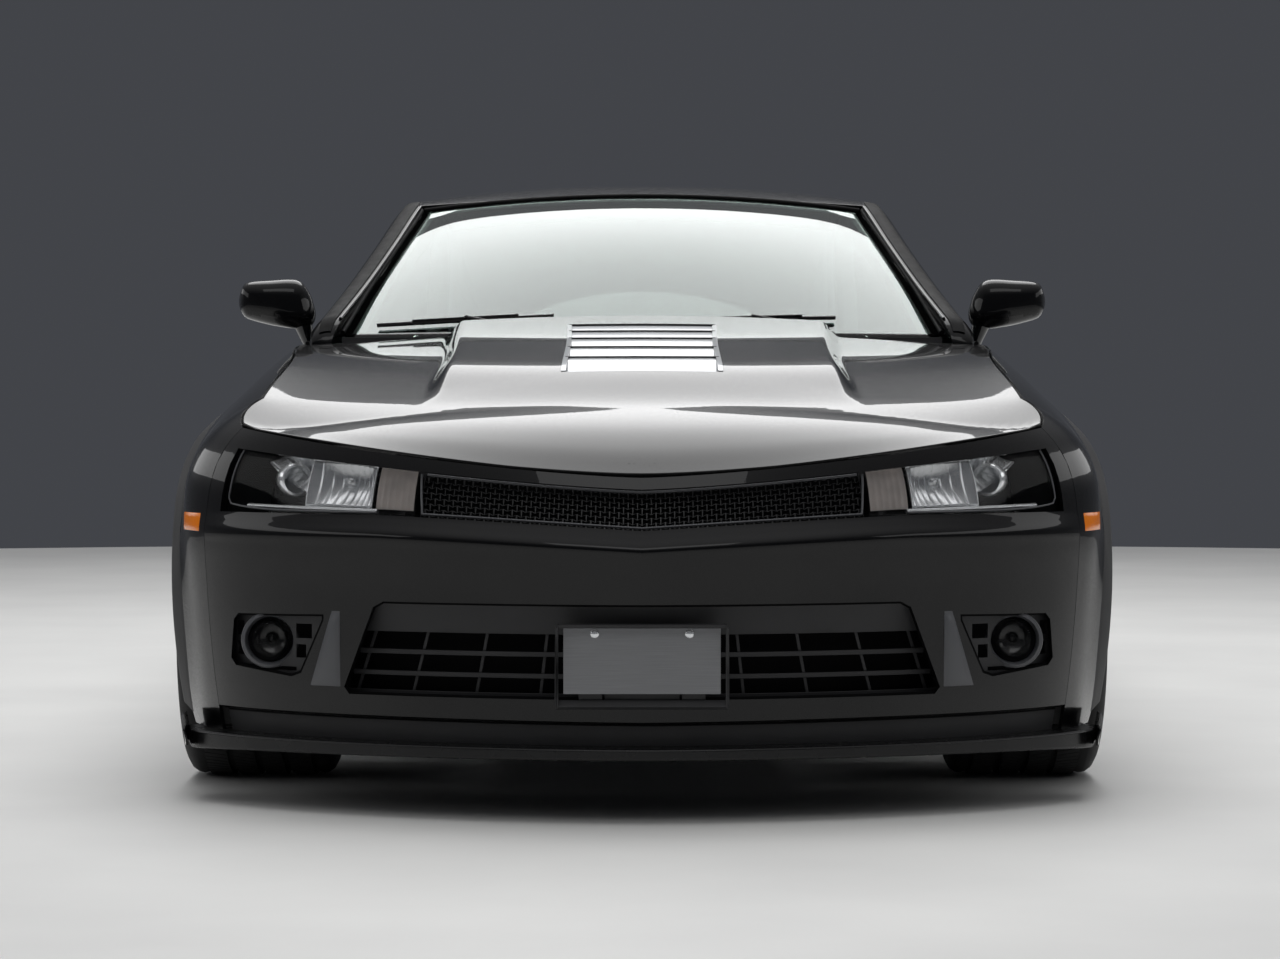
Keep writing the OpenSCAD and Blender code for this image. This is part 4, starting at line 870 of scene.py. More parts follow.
# Roof skin and cant rails: one pressed panel between the windscreen and the rear window, with a
# hollow rail down each side that runs on as the screen pillar.
RAIL_FOOT, BODY_H = 947.0, 1331.0
HOUSE_H = BODY_H - RAIL_FOOT
RAIL = [
    (DOOR_F, 224.5, 0), (DOOR_F + 260, 274.5, 0.245), (DOOR_F + 520, 324.5, 0.516), (DOOR_F + 800, 370.5, 0.792),
    (DOOR_F + 1000, 384.5, 0.852), (DOOR_R - 100, 392.5, 0.859), (DOOR_R + 160, 400.5, 0.807),
    (DOOR_R + 400, 396.5, 0.651), (AXLE_R + 165, 364.5, 0.0885)]
SCREEN_BASE, SCREEN_SHARE = 925.0, 0.885
SCREEN_Y = (DOOR_F - 122, DOOR_F + 745)
SCREEN_EDGE = (DOOR_F + 16, DOOR_F + 790)
ROOF_LINE = [(SCREEN_Y[1], SCREEN_SHARE), (DOOR_F + 950, 0.974), (DOOR_F + 1130, 1), (DOOR_R + 60, 0.984),
             (DOOR_R + 260, 0.896)]
ROOF_F, ROOF_R = SCREEN_Y[1] + 12, DOOR_R + 260


def rail_x(y):
    return HALF_W - curve(RAIL, 1, y)


def rail_z(y):
    return RAIL_FOOT + HOUSE_H * curve(RAIL, 2, y)


def roof_z(y):
    return RAIL_FOOT + HOUSE_H * curve(ROOF_LINE, 1, y)


def roof_point(u, v):
    y = mix(mix(ROOF_F, SCREEN_EDGE[1] + 12, u * u), ROOF_R, v)
    top = roof_z(y - 47 * u * u * (1 - v))
    return u * (rail_x(y) - 20), y, mix(top, rail_z(y) + 14, abs(u) ** 2.4)


fit(skin(56, 40, lambda u, v: roof_point(2 * u - 1, v)),
    "roof_skin", paint, "paint", ["roof"], wall=22, edge=2)
RAIL_RING = [(-24, -26), (-44, -18), (-53, -4), (-54, 12), (-46, 16.5), (-32, 16), (-18, 12.5), (-6, 7), (4, -1),
             (11, -11), (13, -19), (10, -26)]


def rail_point(x, y, z):
    """Point of the cant rail's section at a place along the car."""
    ahead = max(0.0, DOOR_F + 10 - y) / 48
    return rail_x(y) + x * (1 - 0.3 * ahead), y, rail_z(y) + z * (1 - 0.5 * ahead) - 44 * ahead ** 1.5


def rail_tube(ys):
    """Closed tube with the cant rail's section along a list of places."""
    n = len(RAIL_RING)
    m = len(ys) - 1

    def at(u, v):
        x, z = RAIL_RING[round(v * n) % n]
        return rail_point(x, ys[round(u * m)], z)
    return closed(skin(m, n, at))


fit(both(rail_tube([mix(DOOR_F - 28, ROOF_R, t) for t in shares(90)])), "cant_rails", paint, "paint", flat=50)

# Windscreen: laminated glass, 6 mm, bonded to the pillars, with a black fired border round it.
# Laminated glass: clear with a faint green cast.
glass = finish_of("laminated_glass", Base_Color=linear("#a9bab4"), Roughness=0.0, IOR=1.5, Transmission_Weight=1.0)


def screen_point(u, v, lift=0.0):
    ye = mix(SCREEN_EDGE[0], SCREEN_EDGE[1], v)
    xe = rail_x(ye) - 62
    bow = math.sin(math.pi * v)
    ze = mix(SCREEN_BASE, rail_z(SCREEN_EDGE[1]) + 4, v) + 14 * bow
    y = mix(mix(SCREEN_Y[0], SCREEN_Y[1], v), ye, u * u)
    z = mix(mix(SCREEN_BASE, RAIL_FOOT + HOUSE_H * SCREEN_SHARE, v) + 42 * bow, ze, u * u)
    return Vector((u * xe, y - lift * 0.4, z + lift))


fit(skin(48, 36, lambda u, v: screen_point(2 * u - 1, v)),
    "windscreen", glass, "glass", ["windshield"], wall=5)

# The fired border is black ceramic enamel on the inner face, solid at the edge, a hand's width wide.
# Ceramic enamel: dense, dull black with a faint orange-peel.
enamel = finish_of("fired_ceramic_enamel", Base_Color=linear("#070708"), Roughness=0.5)
fired = add(enamel, "TexNoise", {"Scale": 300.0, "Detail": 2.0})
add(enamel, "Bump", {"Height": fired, "Strength": 0.1, "Distance": 0.0005}, "Normal")
fit(skin(64, 48, lambda u, v: screen_point(2 * u - 1, v, -7.5),
         lambda u, v: 0.034 < u < 0.966 and 0.045 < v < 0.955),
    "screen_border", enamel, "glass")
# Extruded rubber: soft black with a low sheen, round the glass
rubber = finish_of("epdm_rubber", Base_Color=linear("#0a0a0b"), Specular_IOR_Level=0.15)
bloom = add(rubber, "TexNoise", {"Scale": 45.0, "Detail": 5.0})
add(rubber, "MapRange", {"Value": bloom, "To Min": 0.5, "To Max": 0.75}, "Roughness")
seal = both(rod([screen_point(1.014, k / 40, 3) for k in range(1, 41)], 6))
top_seal = rod([screen_point(k / 24, 1.006, 1) for k in range(-24, 25)], 6)
fit(joined(seal, top_seal), "screen_seals", rubber, "black_plastic", flat=60)
trim_ys = [mix(DOOR_F + 20, SCREEN_EDGE[1], t) for t in shares(40)]
fit(both(rod([(rail_x(y) - 52, y - 4, rail_z(y) + 15) for y in trim_ys], 4)),
    "pillar_trims", gloss_black, "black_plastic", flat=60)

# Pillar mouldings: a rubber strip along each screen pillar, from its foot to the roof, 2 mm proud of
# the paint.
STRIP = [(-45, 17.5), (-40, 18.8), (-32, 18.2), (-24, 16.6), (-17, 14.4), (-12, 11.6)]


def strip_point(u, v):
    x, z = pick(STRIP, v)
    return rail_point(x, mix(DOOR_F - 20, SCREEN_EDGE[1] + 30, u), z)


fit(both(skin(60, 5, strip_point)), "pillar_mouldings", rubber, "black_plastic", wall=3, edge=0.6)

# Cowl and wipers: a moulded grille under the screen, and two arms with flat blades parked on the
# glass. The arms are steel, painted satin black.
def clad(finish, *names):
    """Gives a finish to CAD nodes that are shown as they are."""
    for name in names:
        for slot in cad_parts[name].material_slots:
            slot.material = finish


clad(plastic, "cowl")
fit(joined(*[rod([screen_point(k / 20, -0.01, 2 - n * 9) + Vector((0, -n * 30, 0)) for k in range(-12, 13)], 4, 6)
             for n in (1, 2)]),
    "cowl_ribs", plastic, "black_plastic", flat=60)


def wiper(u0, u1, pivot):
    blade = rod([screen_point(mix(u0, u1, t), mix(0.05, 0.085, t), 9) for t in shares(20)], 5, 6)
    spine = rod([screen_point(mix(u0, u1, k / 20), mix(0.05, 0.085, k / 20), 15) for k in range(4, 17)], 3, 6)
    middle = screen_point(mix(u0, u1, 0.5), 0.068, 17)
    foot = screen_point(pivot, -0.012, 10)
    arm = rod([foot.lerp(middle, t) + Vector((0, 0, 4 * math.sin(math.pi * t))) for t in shares(8)], 4.5)
    knob = turned([(0, 16), (9, 15), (15, 9), (16, 0), (16, -16)], screen_point(pivot, -0.012, 4), "z", 24)
    return [blade, spine, arm, knob]


fit(joined(*wiper(-0.9, -0.3, -0.36), *wiper(0.08, 0.66, 0.62)),
    "wipers", urethane, "black_plastic", flat=50)

# Doors: an outer skin hemmed round a deep frame, with the trimmed inner face towards the cabin.
# The skin runs on past the frame at both ends so that it covers the pillars.
DOOR_IN = HALF_W - 216
DOOR_A, DOOR_B = DOOR_F + GAP / 2, DOOR_R - GAP / 2


def mirrored(ob, name, stands_for=(), body="body"):
    """The same piece on the car's other side."""
    bm = bmesh.new()
    bm.from_mesh(ob.data)
    bmesh.ops.scale(bm, vec=(-1, 1, 1), verts=bm.verts[:])
    bmesh.ops.reverse_faces(bm, faces=bm.faces[:])
    data = bpy.data.meshes.new(name)
    bm.to_mesh(data)
    bm.free()
    for material in ob.data.materials:
        data.materials.append(material)
    twin = bpy.data.objects.new(name, data)
    scene.collection.objects.link(twin)
    for old in ob.modifiers:
        new = twin.modifiers.new(old.name, old.type)
        for key in ("thickness", "offset", "use_even_offset", "thickness_clamp", "width", "segments", "limit_method",
                    "angle_limit", "harden_normals", "levels", "render_levels"):
            if hasattr(old, key):
                setattr(new, key, getattr(old, key))
    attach(twin, body)
    if stands_for:
        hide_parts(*stands_for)
    return twin


def on_doors(bm, name, finishes, slot, node=None, **shape):
    """A piece of the left door, and its mirror image on the right one."""
    left = fit(bm, name + "_left", finishes, slot, [node + "_left"] if node else (), "door_left", **shape)
    mirrored(left, name + "_right", [node + "_right"] if node else (), "door_right")


door_rows = [mix(DOOR_A, DOOR_B, t) for t in shares(60)]
on_doors(side_skin(door_rows, lambda y: SILL_TOP + GAP), "door_skin", paint, "paint", "door", wall=7, edge=2)

# Door linings: a moulded panel in soft vinyl over the frame's inner face, stepped for the arm rest,
# with its edges turned back to the outer skin.
# Embossed vinyl: near-black, with a leather grain of about 2 mm and a dull sheen.
vinyl = finish_of("embossed_vinyl", Base_Color=linear("#1c1c1f"), Roughness=0.5)
grain = add(vinyl, "TexVoronoi", {"Scale": 480.0}, feature="DISTANCE_TO_EDGE")
add(vinyl, "Bump", {"Height": grain, "Strength": 0.35, "Distance": 0.0008}, "Normal")
TRIM_C, TRIM_R = 48, 32


def lining_point(u, v):
    i, j = round(u * TRIM_C), round(v * TRIM_R)
    a, b = (min(max(i - 1, 0), TRIM_C - 2) / (TRIM_C - 2), min(max(j - 1, 0), TRIM_R - 2) / (TRIM_R - 2))
    y = mix(DOOR_A + 77, DOOR_B - 44, a)
    z = mix(SILL_TOP + GAP + 2, shoulder_z(y) - 1, b)
    if i in (0, TRIM_C) or j in (0, TRIM_R):
        return side_x(y, z) - 8, y, z
    rest = ease(1 - abs(z - 668) / 46) * ease(1 - abs(y - 60) / 330)
    pocket = ease(1 - abs(z - 420) / 70) * ease(1 - abs(y + 40) / 380)
    return DOOR_IN + 8 + 20 * pocket - 42 * rest, y, z


on_doors(skin(TRIM_C, TRIM_R, lambda u, v: lining_point(1 - u, v)), "door_lining", vinyl, "dash", edge=3)
# Pull handle and release lever
pull = rod([(DOOR_IN - 34, mix(-60, 150, t), 716 + 12 * math.sin(math.pi * t)) for t in shares(12)], 9)
lever = rod([(DOOR_IN - 2 - 10 * math.sin(math.pi * t), mix(-330, -250, t), 742) for t in shares(8)], 7)
on_doors(joined(pull, lever), "door_pulls", urethane, "black_plastic", flat=60)
# Outer handle: a pull bar in body colour over a shallow cup
HANDLE_Z = 786
handle_at = [mix(DOOR_R - 205, DOOR_R - 62, t) for t in shares(16)]
on_doors(rod([(side_x(y, HANDLE_Z) + 1 + 13 * math.sin(math.pi * k / 16) ** 0.5, y, HANDLE_Z + k * 0.4)
              for k, y in enumerate(handle_at)], 8, 10), "door_handle", paint, "paint", flat=60)


def cup_point(u, v):
    y, z = mix(DOOR_R - 180, DOOR_R - 86, u), mix(HANDLE_Z - 18, HANDLE_Z + 20, v)
    return side_x(y, z) + 0.8, y, z


on_doors(skin(16, 8, cup_point), "handle_cup", gloss_black, "black_plastic", wall=1.5, edge=0.5)
# Belt seal along the foot of the window
belt_ys = [mix(DOOR_A + 70, DOOR_B - 40, t) for t in shares(40)]
on_doors(rod([(shoulder_x(y) - 9, y, shoulder_z(y) + 3) for y in belt_ys], 5),
         "belt_seal", rubber, "black_plastic", flat=60)

# Door mirrors: a painted cap over a black plastic case on a short foot, with a silvered glass facing
# rearwards.
MIRROR_Y, MIRROR_OUT, MIRROR_Z = DOOR_F + 150, HALF_W - 32.5, 940.0
root_x = shoulder_x(MIRROR_Y)
MIRROR_IN = root_x - 5
# Columns: place across the car, front, rear, foot and top of the case
CASE = [(MIRROR_IN, -32, 40, 20, 112), (root_x + 24, -46, 50, 8, 123), (root_x + 75, -55, 56, 15, 122),
        (MIRROR_OUT - 14, -44, 50, 33, 115), (MIRROR_OUT, -26, 36, 42, 100)]


def case_point(u, v):
    x = mix(MIRROR_IN, MIRROR_OUT, mix(u, 0.5 - 0.5 * math.cos(math.pi * u), 0.8))
    front, rear, foot, top = (curve(CASE, k, x) for k in (1, 2, 3, 4))
    shut = max(closing(x - MIRROR_OUT + 26, 26.5, 2.4), 0.3) * max(closing(MIRROR_IN + 20 - x, 20.5, 2.4), 0.4)
    a = 2 * math.pi * v
    s, c = (math.copysign(abs(f) ** 0.64, f) for f in (math.sin(a), math.cos(a)))
    lean = 26 * max(0.0, 1 - (x - MIRROR_IN) / 80) * (1 - c * shut) / 2
    return Vector((x - lean, MIRROR_Y + (front + rear) / 2 - s * shut * (rear - front) / 2,
                   MIRROR_Z + (foot + top) / 2 + c * shut * (top - foot) / 2))


case = closed(skin(28, 40, case_point))
for f in case.faces:
    f.material_index = int(f.calc_center_median().z < (MIRROR_Z + 38) * MM)
on_doors(case, "mirror_case", [paint, gloss_black], "paint", "mirror", edge=2)


def foot_point(u, v):
    a = 2 * math.pi * v
    return (root_x + mix(-9, 11, u) + mix(15, 24, u) * math.cos(a), MIRROR_Y + 3 + mix(27, 34, u) * math.sin(a),
            shoulder_z(MIRROR_Y) + mix(0, 58, u))


on_doors(closed(skin(8, 24, foot_point)), "mirror_foot", gloss_black, "black_plastic", flat=60)
# Silvered glass: a sharp mirror with a faint blue cast
silvered = finish_of("silvered_glass", Metallic=1.0, Roughness=0.02)
haze = add(silvered, "TexNoise", {"Scale": 8.0})
add(silvered, "ValToRGB", {"Fac": haze}, "Base Color", ["#b9c2c8", "#ccd3d7"])


def mirror_face(u, v):
    x = mix(root_x + 20, MIRROR_OUT - 24, u)
    rear, foot, top = (curve(CASE, k, x) for k in (2, 3, 4))
    return x, MIRROR_Y + rear + 1 - 5 * (2 * u - 1) ** 4, MIRROR_Z + mix(foot + 20, top - 20, v)


on_doors(skin(16, 10, lambda u, v: mirror_face(1 - u, v)), "mirror_glass", silvered, "glass", wall=3, edge=0.8)

# Door hinges: cast eyes on each door, turning on pins in the pillar's straps.
# Cast steel under black dip paint: fine grit of about 1.5 mm, half dull.
dipped = finish_of("dip_painted_steel", Base_Color=linear("#18191b"), Roughness=0.45, Metallic=0.2)
grit = add(dipped, "TexNoise", {"Scale": 650.0, "Detail": 3.0})
add(dipped, "Bump", {"Height": grit, "Strength": 0.25, "Distance": 0.0006}, "Normal")
clad(dipped, "door_eyes_left", "door_eyes_right", "body_hinges", "hood_arms", "trunk_arms")

# Sills: folded box sections under the doors, painted with the body.
clad(paint, "sills")

# Rear quarters: pressed panels from the door to the tail, with the sail up to the cant rail.
SAIL_F, SAIL_R, REAR_BASE = DOOR_R + 205, AXLE_R + 165, 968.0
fit(both(side_skin(wing_rows(DOOR_R + GAP / 2, JOINT_R - 1, AXLE_R),
                   lambda y: arch_foot(y, AXLE_R, SILL_TOP, REAR_LOW))),
    "rear_quarters", paint, "paint", ["quarters"], wall=7, edge=2)


def sail_point(u, v):
    y = mix(SAIL_F, SAIL_R, u)
    top = rail_z(y) - mix(29, 6, ease((y - ROOF_R + 20) / 40))
    return mix(shoulder_x(y) - 3, rail_x(y) + 4, v ** 1.3), y, mix(shoulder_z(y) - 6, top, v)


fit(both(skin(40, 24, sail_point)), "quarter_sails", paint, "paint", wall=20, edge=2)
fit(both(rail_tube([mix(ROOF_R, SAIL_R, t) for t in shares(30)])), "sail_rails", paint, "paint", flat=50)

# Gutters: the quarter's top edge is folded inwards beside the boot lid.
def gutter_point(u, v):
    y = mix(SAIL_R - 20, JOINT_R - 1, u)
    return edge_x(y) - 2 - 44 * v, y, shoulder_z(y) - 17 - 4 * v


fit(both(skin(30, 4, gutter_point)), "boot_gutters", paint, "paint", wall=4, edge=1)

# Side and rear windows: dark tempered glass standing on the belt line.
# Tempered privacy glass: grey-green, much darker than the screen.
dark_glass = finish_of("privacy_glass", Base_Color=linear("#3c4644"), Roughness=0.0, IOR=1.5, Transmission_Weight=1.0)


def pane(front, rear, drop):
    def at(u, v):
        y = mix(front, rear, u)
        return (mix(shoulder_x(y) - 14, rail_x(y) - 8, v), y, mix(shoulder_z(y) + 0.4, rail_z(y) - drop, v))
    return skin(24, 12, at)


on_doors(pane(DOOR_A + 75, DOOR_B - 42, 32), "door_window", dark_glass, "glass", "door_glass", wall=5)
fit(both(pane(DOOR_R + GAP / 2 + 2, SAIL_F - 1, 30)),
    "quarter_panes", dark_glass, "glass", ["quarter_windows"], wall=5)


# Centre pillar: a black cover between the two side windows, fixed to the body
def post_point(u, v):
    y = mix(DOOR_B - 40, DOOR_R + GAP / 2 + 3, u)
    return mix(shoulder_x(y) - 22, rail_x(y) - 16, v), y, mix(shoulder_z(y) - 12, rail_z(y) - 20, v)


fit(both(skin(6, 16, post_point)), "centre_pillars", gloss_black, "black_plastic", wall=8, edge=2)


def rear_point(u, v):
    y = mix(ROOF_R + 8, SAIL_R - 2, v)
    x = rail_x(y) - 60
    bow = math.sin(math.pi * v)
    mid = mix(roof_z(ROOF_R), REAR_BASE, v) + 34 * bow
    rim = mix(rail_z(ROOF_R) + 12, REAR_BASE, v) + 14 * bow
    return u * x, y, mix(mid, rim, abs(u) ** 2.4)


fit(skin(40, 28, lambda u, v: rear_point(2 * u - 1, v)), "rear_screen", dark_glass, "glass", ["rear_window"],
    wall=5)

# Boot lid: one pressing between the rear window and the tail, on two gooseneck arms.
LID_F, LID_UNDER = SAIL_R + 46, 943.0
LID_C, LID_R = 66, 42
LID_TOP = [(LID_F, 986), (LID_F + 300, 992), (TAIL_Y, 972)]


def tail_point(s, t, inset=0.0):
    z = mix(REAR_LOW, TAIL_TOP, t)
    wide = plain_x(TAIL_E, z) - inset
    long = tail_len(t) - inset
    f = closing(JOINT_R - TAIL_E, long, TAIL_N) * abs(s)
    return Vector((math.copysign(f * wide, s), TAIL_E + long * closing(f, 1, TAIL_N), z))


def lid_point(s, v):
    y = mix(LID_F + 18 * s * s, tail_point(s, 1)[1] - 14, v)
    x = s * (edge_x(min(y, JOINT_R)) - 2 - GAP)
    return Vector((x, y, mix(curve(LID_TOP, 1, y), shoulder_z(y) + 3, abs(s) ** 2.6)))


def lid_shell(u, v):
    """The lid with its edges turned down all round."""
    i, j = round(u * LID_C), round(v * LID_R)
    half = LID_C / 2
    p = lid_point(max(-1.0, min(1.0, (i - half) / (half - 1))), max(0.0, min(1.0, (j - 1) / (LID_R - 2))))
    if i in (0, LID_C) or j in (0, LID_R):
        p.z = LID_UNDER + 1
    return p


fit(skin(LID_C, LID_R, lid_shell), "boot_lid", paint, "paint", ["trunk_lid"], "trunk", wall=4, edge=2)

# Rear cowl: a narrow panel that closes the body between the rear window's foot and the boot lid.
def rear_cowl_point(u, v):
    s = 2 * u - 1
    rear = lid_point(s, 0)
    y = mix(SAIL_R - 8, rear.y - 10, v)
    front_z, rear_z = mix(REAR_BASE - 1, 950, abs(s) ** 3), mix(rear.z - 40, 934, abs(s) ** 3)
    return Vector((s * (edge_x(SAIL_R) - 8), y, mix(front_z, rear_z, v)))


fit(skin(48, 6, rear_cowl_point), "rear_cowl", paint, "paint", wall=4, edge=1)

# Tail skin: the rear bumper cover, painted with the body, with an opening for the lamps on each
# side and a grained lower edge round the exhausts.
tail_half = spread([0, 0.6, 0.95, 1], [30, 16, 8])
tail_ss = tail_half[:0:-1] + [-x for x in tail_half]
tail_ts = spread([0, 0.15, 0.35, 0.6, 0.69, 0.87, 0.93, 1], [10, 10, 14, 12, 10, 4, 6])


def tail_skin_point(s, t):
    """The tail, with its upper edge brought up to the boot lid's."""
    p = tail_point(s, t)
    p.z += (lid_point(s, 1).z - 5 - TAIL_TOP) * ease((t - 0.9) / 0.1)
    return p


rear_skin = grid_skin(tail_ss, tail_ts, tail_skin_point, lambda s, t: 0.6 < abs(s) < 0.95 and 0.69 < t < 0.87)
for f in rear_skin.faces:
    middle = f.calc_center_median() / MM
    f.material_index = int(middle.z < 395 and abs(middle.x) < 620)
fit(rear_skin, "rear_bumper_skin", [paint, plastic], "paint", ["rear_fascia"], wall=10, edge=2.5)

# Tail lamps: two pillow-shaped red lenses a side in a gloss black housing.
# Red polycarbonate: deep red, with a moulded prism pattern of about 8 mm below the surface.
red_lens = finish_of("red_polycarbonate", Roughness=0.08, IOR=1.58, Coat_Weight=1.0, Coat_Roughness=0.02)
prism = add(red_lens, "TexVoronoi", {"Scale": 125.0}, distance="CHEBYCHEV")
add(red_lens, "ValToRGB", {"Fac": prism}, "Base Color", ["#a01014", "#54060a"])
add(red_lens, "Bump", {"Height": prism, "Strength": 0.2, "Distance": 0.001}, "Normal")
fit(both(skin(30, 12, lambda u, v: tail_point(mix(0.962, 0.588, u), mix(0.675, 0.885, v), 26))),
    "tail_lamp_bays", gloss_black, "black_plastic", wall=6)


def tail_lens(a, b):
    def at(u, v):
        pillow = (1 - abs(2 * u - 1) ** 5) * (1 - abs(2 * v - 1) ** 5)
        corner = 1 - 0.06 * abs(2 * u - 1) ** 6
        return tail_point(mix(a, b, u), 0.78 + (v - 0.5) * 0.152 * corner, 24 - 20 * pillow)
    return skin(24, 18, at)


fit(both(joined(tail_lens(0.935, 0.79), tail_lens(0.768, 0.617))),
    "tail_lamp_lenses", red_lens, "lamp_red", ["tail_lamps"], wall=3, edge=0.6)

# Spoiler: a hollow moulded blade across the boot lid's rear edge, painted with the body and held by
# screws from below.
# Columns: share of the lid's length, height above it, set-back
BLADE = [(0.70, 0.6, 0), (0.70, 3, 0), (0.79, 15, 5), (0.86, 26, 14), (0.90, 35, 26), (0.925, 42, 38),
         (0.934, 44, 44), (0.938, 41, 47), (0.936, 34, 42), (0.935, 20, 26), (0.935, 8, 12), (0.937, 0.6, 6)]


def blade_point(u, v):
    s = mix(-0.94, 0.94, u)
    share, rise, back = BLADE[round(v * len(BLADE)) % len(BLADE)]
    low = ease((0.94 - abs(s)) / 0.10)
    return lid_point(s, share) + Vector((0, back * low, 0.6 + (rise - 0.6) * mix(0.25, 1, low)))


fit(closed(skin(64, len(BLADE), blade_point)), "spoiler_blade", paint, "black_plastic", ["spoiler"], "trunk", flat=50)

# Rear deck: a pressed shelf under the rear window, trimmed with carpet.
# Needle-felt carpet: short charcoal loops about 2 mm across.
carpet = finish_of("needle_felt_carpet", Roughness=0.95, Sheen_Weight=0.3)
loops = add(carpet, "TexNoise", {"Scale": 420.0, "Detail": 4.0})
add(carpet, "ValToRGB", {"Fac": loops}, "Base Color", ["#141416", "#303034"])
add(carpet, "Bump", {"Height": loops, "Strength": 0.6, "Distance": 0.002}, "Normal")
clad(carpet, "rear_deck", "floor_pan")

# Exhausts: a rolled steel silencer each side, a bent pipe and a flared tip of polished stainless.
# Stainless tube: bright, with draw lines along it.
stainless = finish_of("polished_stainless", Base_Color=linear("#b9bcc0"), Metallic=1.0)
draw = add(stainless, "TexNoise", {"Vector": add(stainless, "Mapping", {"Vector": add(stainless, "TexCoord", {},
    output="Object"), "Scale": (260.0, 4.0, 260.0)}), "Scale": 1.0, "Detail": 3.0})
add(stainless, "MapRange", {"Value": draw, "To Min": 0.12, "To Max": 0.34}, "Roughness")
silencer = turned([(0, 0), (56, 0), (67, -6), (70, -18), (70, -402), (67, -414), (56, -420), (0, -420)],
                  (250, AXLE_R + 330, 300))
tip = turned([(30, -40), (36, -60), (37, -228), (40, -236), (42, -234), (42, -40), (34, 0), (28, 10)],
             (300, AXLE_R + 740, 252))
pipe = rod([(250 + 50 * ease(t), AXLE_R + mix(722, 770, t), 300 - 48 * ease(t)) for t in shares(8)], 28, 14)
strap = rod([(250, AXLE_R + 440, mix(360, 430, t)) for t in shares(4)], 9)
fit(both(joined(silencer, tip, pipe, strap)), "exhaust_tubes", stainless, "exhaust", ["exhaust"], flat=50)

# Tyres: a moulded radial with four tread ribs cut into blocks, rounded shoulders and a rim guard.
# Vulcanised rubber: dull grey-black, with faint mould bloom and fine scuffs.
tread_rubber = finish_of("vulcanised_rubber")
bloom = add(tread_rubber, "TexNoise", {"Scale": 22.0, "Detail": 6.0})
add(tread_rubber, "ValToRGB", {"Fac": bloom}, "Base Color", ["#0c0c0d", "#1a1a1b"])
add(tread_rubber, "MapRange", {"Value": bloom, "To Min": 0.6, "To Max": 0.85}, "Roughness")
WHEEL_X = (788.0, 820.0)
RIM_R, TYRE_R, TYRE_W = 245.0, 333.0, 152.5
TREAD = 7.0
# Columns: height over the rim and place along the axle; then depth below the tread and from the side
BEAD = [(0.6, 137), (10, 138.5), (15, 142), (17, 149), (22, 151.5), (27, 148.5), (40, 151)]
SHOULDER = [(38, 0), (26, 0.5), (22, 2.5), (12, 8), (5, 18), (3, 28)]
half_tyre = ([(RIM_R + r, x) for r, x in BEAD] + [(TYRE_R - r, TYRE_W - x) for r, x in SHOULDER]
             + [(TYRE_R - TREAD, x) for x in (109, 62, 50, 6)])
tyre_bm = spun(half_tyre + [(r, -x) for r, x in half_tyre[::-1]], 132, 0)
ribs = [f for f in tyre_bm.faces if abs(f.calc_center_median().yz.length - TYRE_R + TREAD) < 1.5
        and (8 < abs(f.calc_center_median().x) < 48 or 64 < abs(f.calc_center_median().x) < 107)]
bmesh.ops.inset_individual(tyre_bm, faces=ribs, thickness=1.4, depth=TREAD - 0.2)
# The blocks lean: each outer edge is moved round the tyre by its distance from the middle
for v in tyre_bm.verts:
    if v.co.yz.length > TYRE_R - TREAD - 1 and abs(v.co.x) < 110:
        v.co = Matrix.Rotation(-0.0009 * abs(v.co.x), 3, "X") @ v.co

# Wheels: forged aluminium, with a deep barrel, five pairs of slim spokes, a turned hub with its
# cap, and five nuts. Painted satin charcoal.
# Satin charcoal paint on forging: dark grey metallic, fine flake, soft highlights.
forged = finish_of("satin_charcoal_on_forging", Metallic=0.7, Coat_Weight=0.3, Coat_Roughness=0.2)
flake = add(forged, "TexNoise", {"Scale": 500.0, "Detail": 2.0})
add(forged, "ValToRGB", {"Fac": flake}, "Base Color", ["#2a2b2e", "#3d3f43"])
add(forged, "MapRange", {"Value": flake, "To Min": 0.28, "To Max": 0.42}, "Roughness")
RIM_W = TYRE_W - 6
# Columns: height over the rim, depth from its inner or outer edge
INNER = [(-12, 10), (-10, 0), (10, 0), (12, 3), (12, 7), (0, 9), (-6, 30)]
OUTER = [(-6, 30), (0, 9), (12, 7), (12, 3), (10, 0), (-2, 0), (-7, 5), (-11, 24), (-13, 60)]
barrel = spun([(RIM_R + r, x - RIM_W) for r, x in INNER] + [(RIM_R + r, RIM_W - x) for r, x in OUTER]
              + [(RIM_R + r, x - RIM_W) for r, x in ((-13, 14), (-12, 10))], 96, 0)


def in_mm(bm):
    """Takes a skin back to mm, for a shape that is put in its place later."""
    bmesh.ops.scale(bm, vec=(1 / MM,) * 3, verts=bm.verts[:])
    return bm


def spoke_bm(turn):
    """One spoke: a crowned bar from the hub to the barrel, wider at both ends."""
    out = Vector((0, math.cos(turn), math.sin(turn)))
    across = Vector((0, -math.sin(turn), math.cos(turn)))

    def at(u, v):
        r = mix(54, RIM_R - 10, u)
        half = mix(17, 11, ease(u * 1.5)) + 8 * ease((u - 0.82) / 0.18)
        a = 2 * math.pi * v
        s, c = (math.copysign(abs(f) ** 0.6, f) for f in (math.sin(a), math.cos(a)))
        x = 106 + 10 * u * u + c * mix(15, 11, u)
        return Vector((x, 0, 0)) + out * r + across * (s * half)
    return in_mm(closed(skin(14, 16, at)))


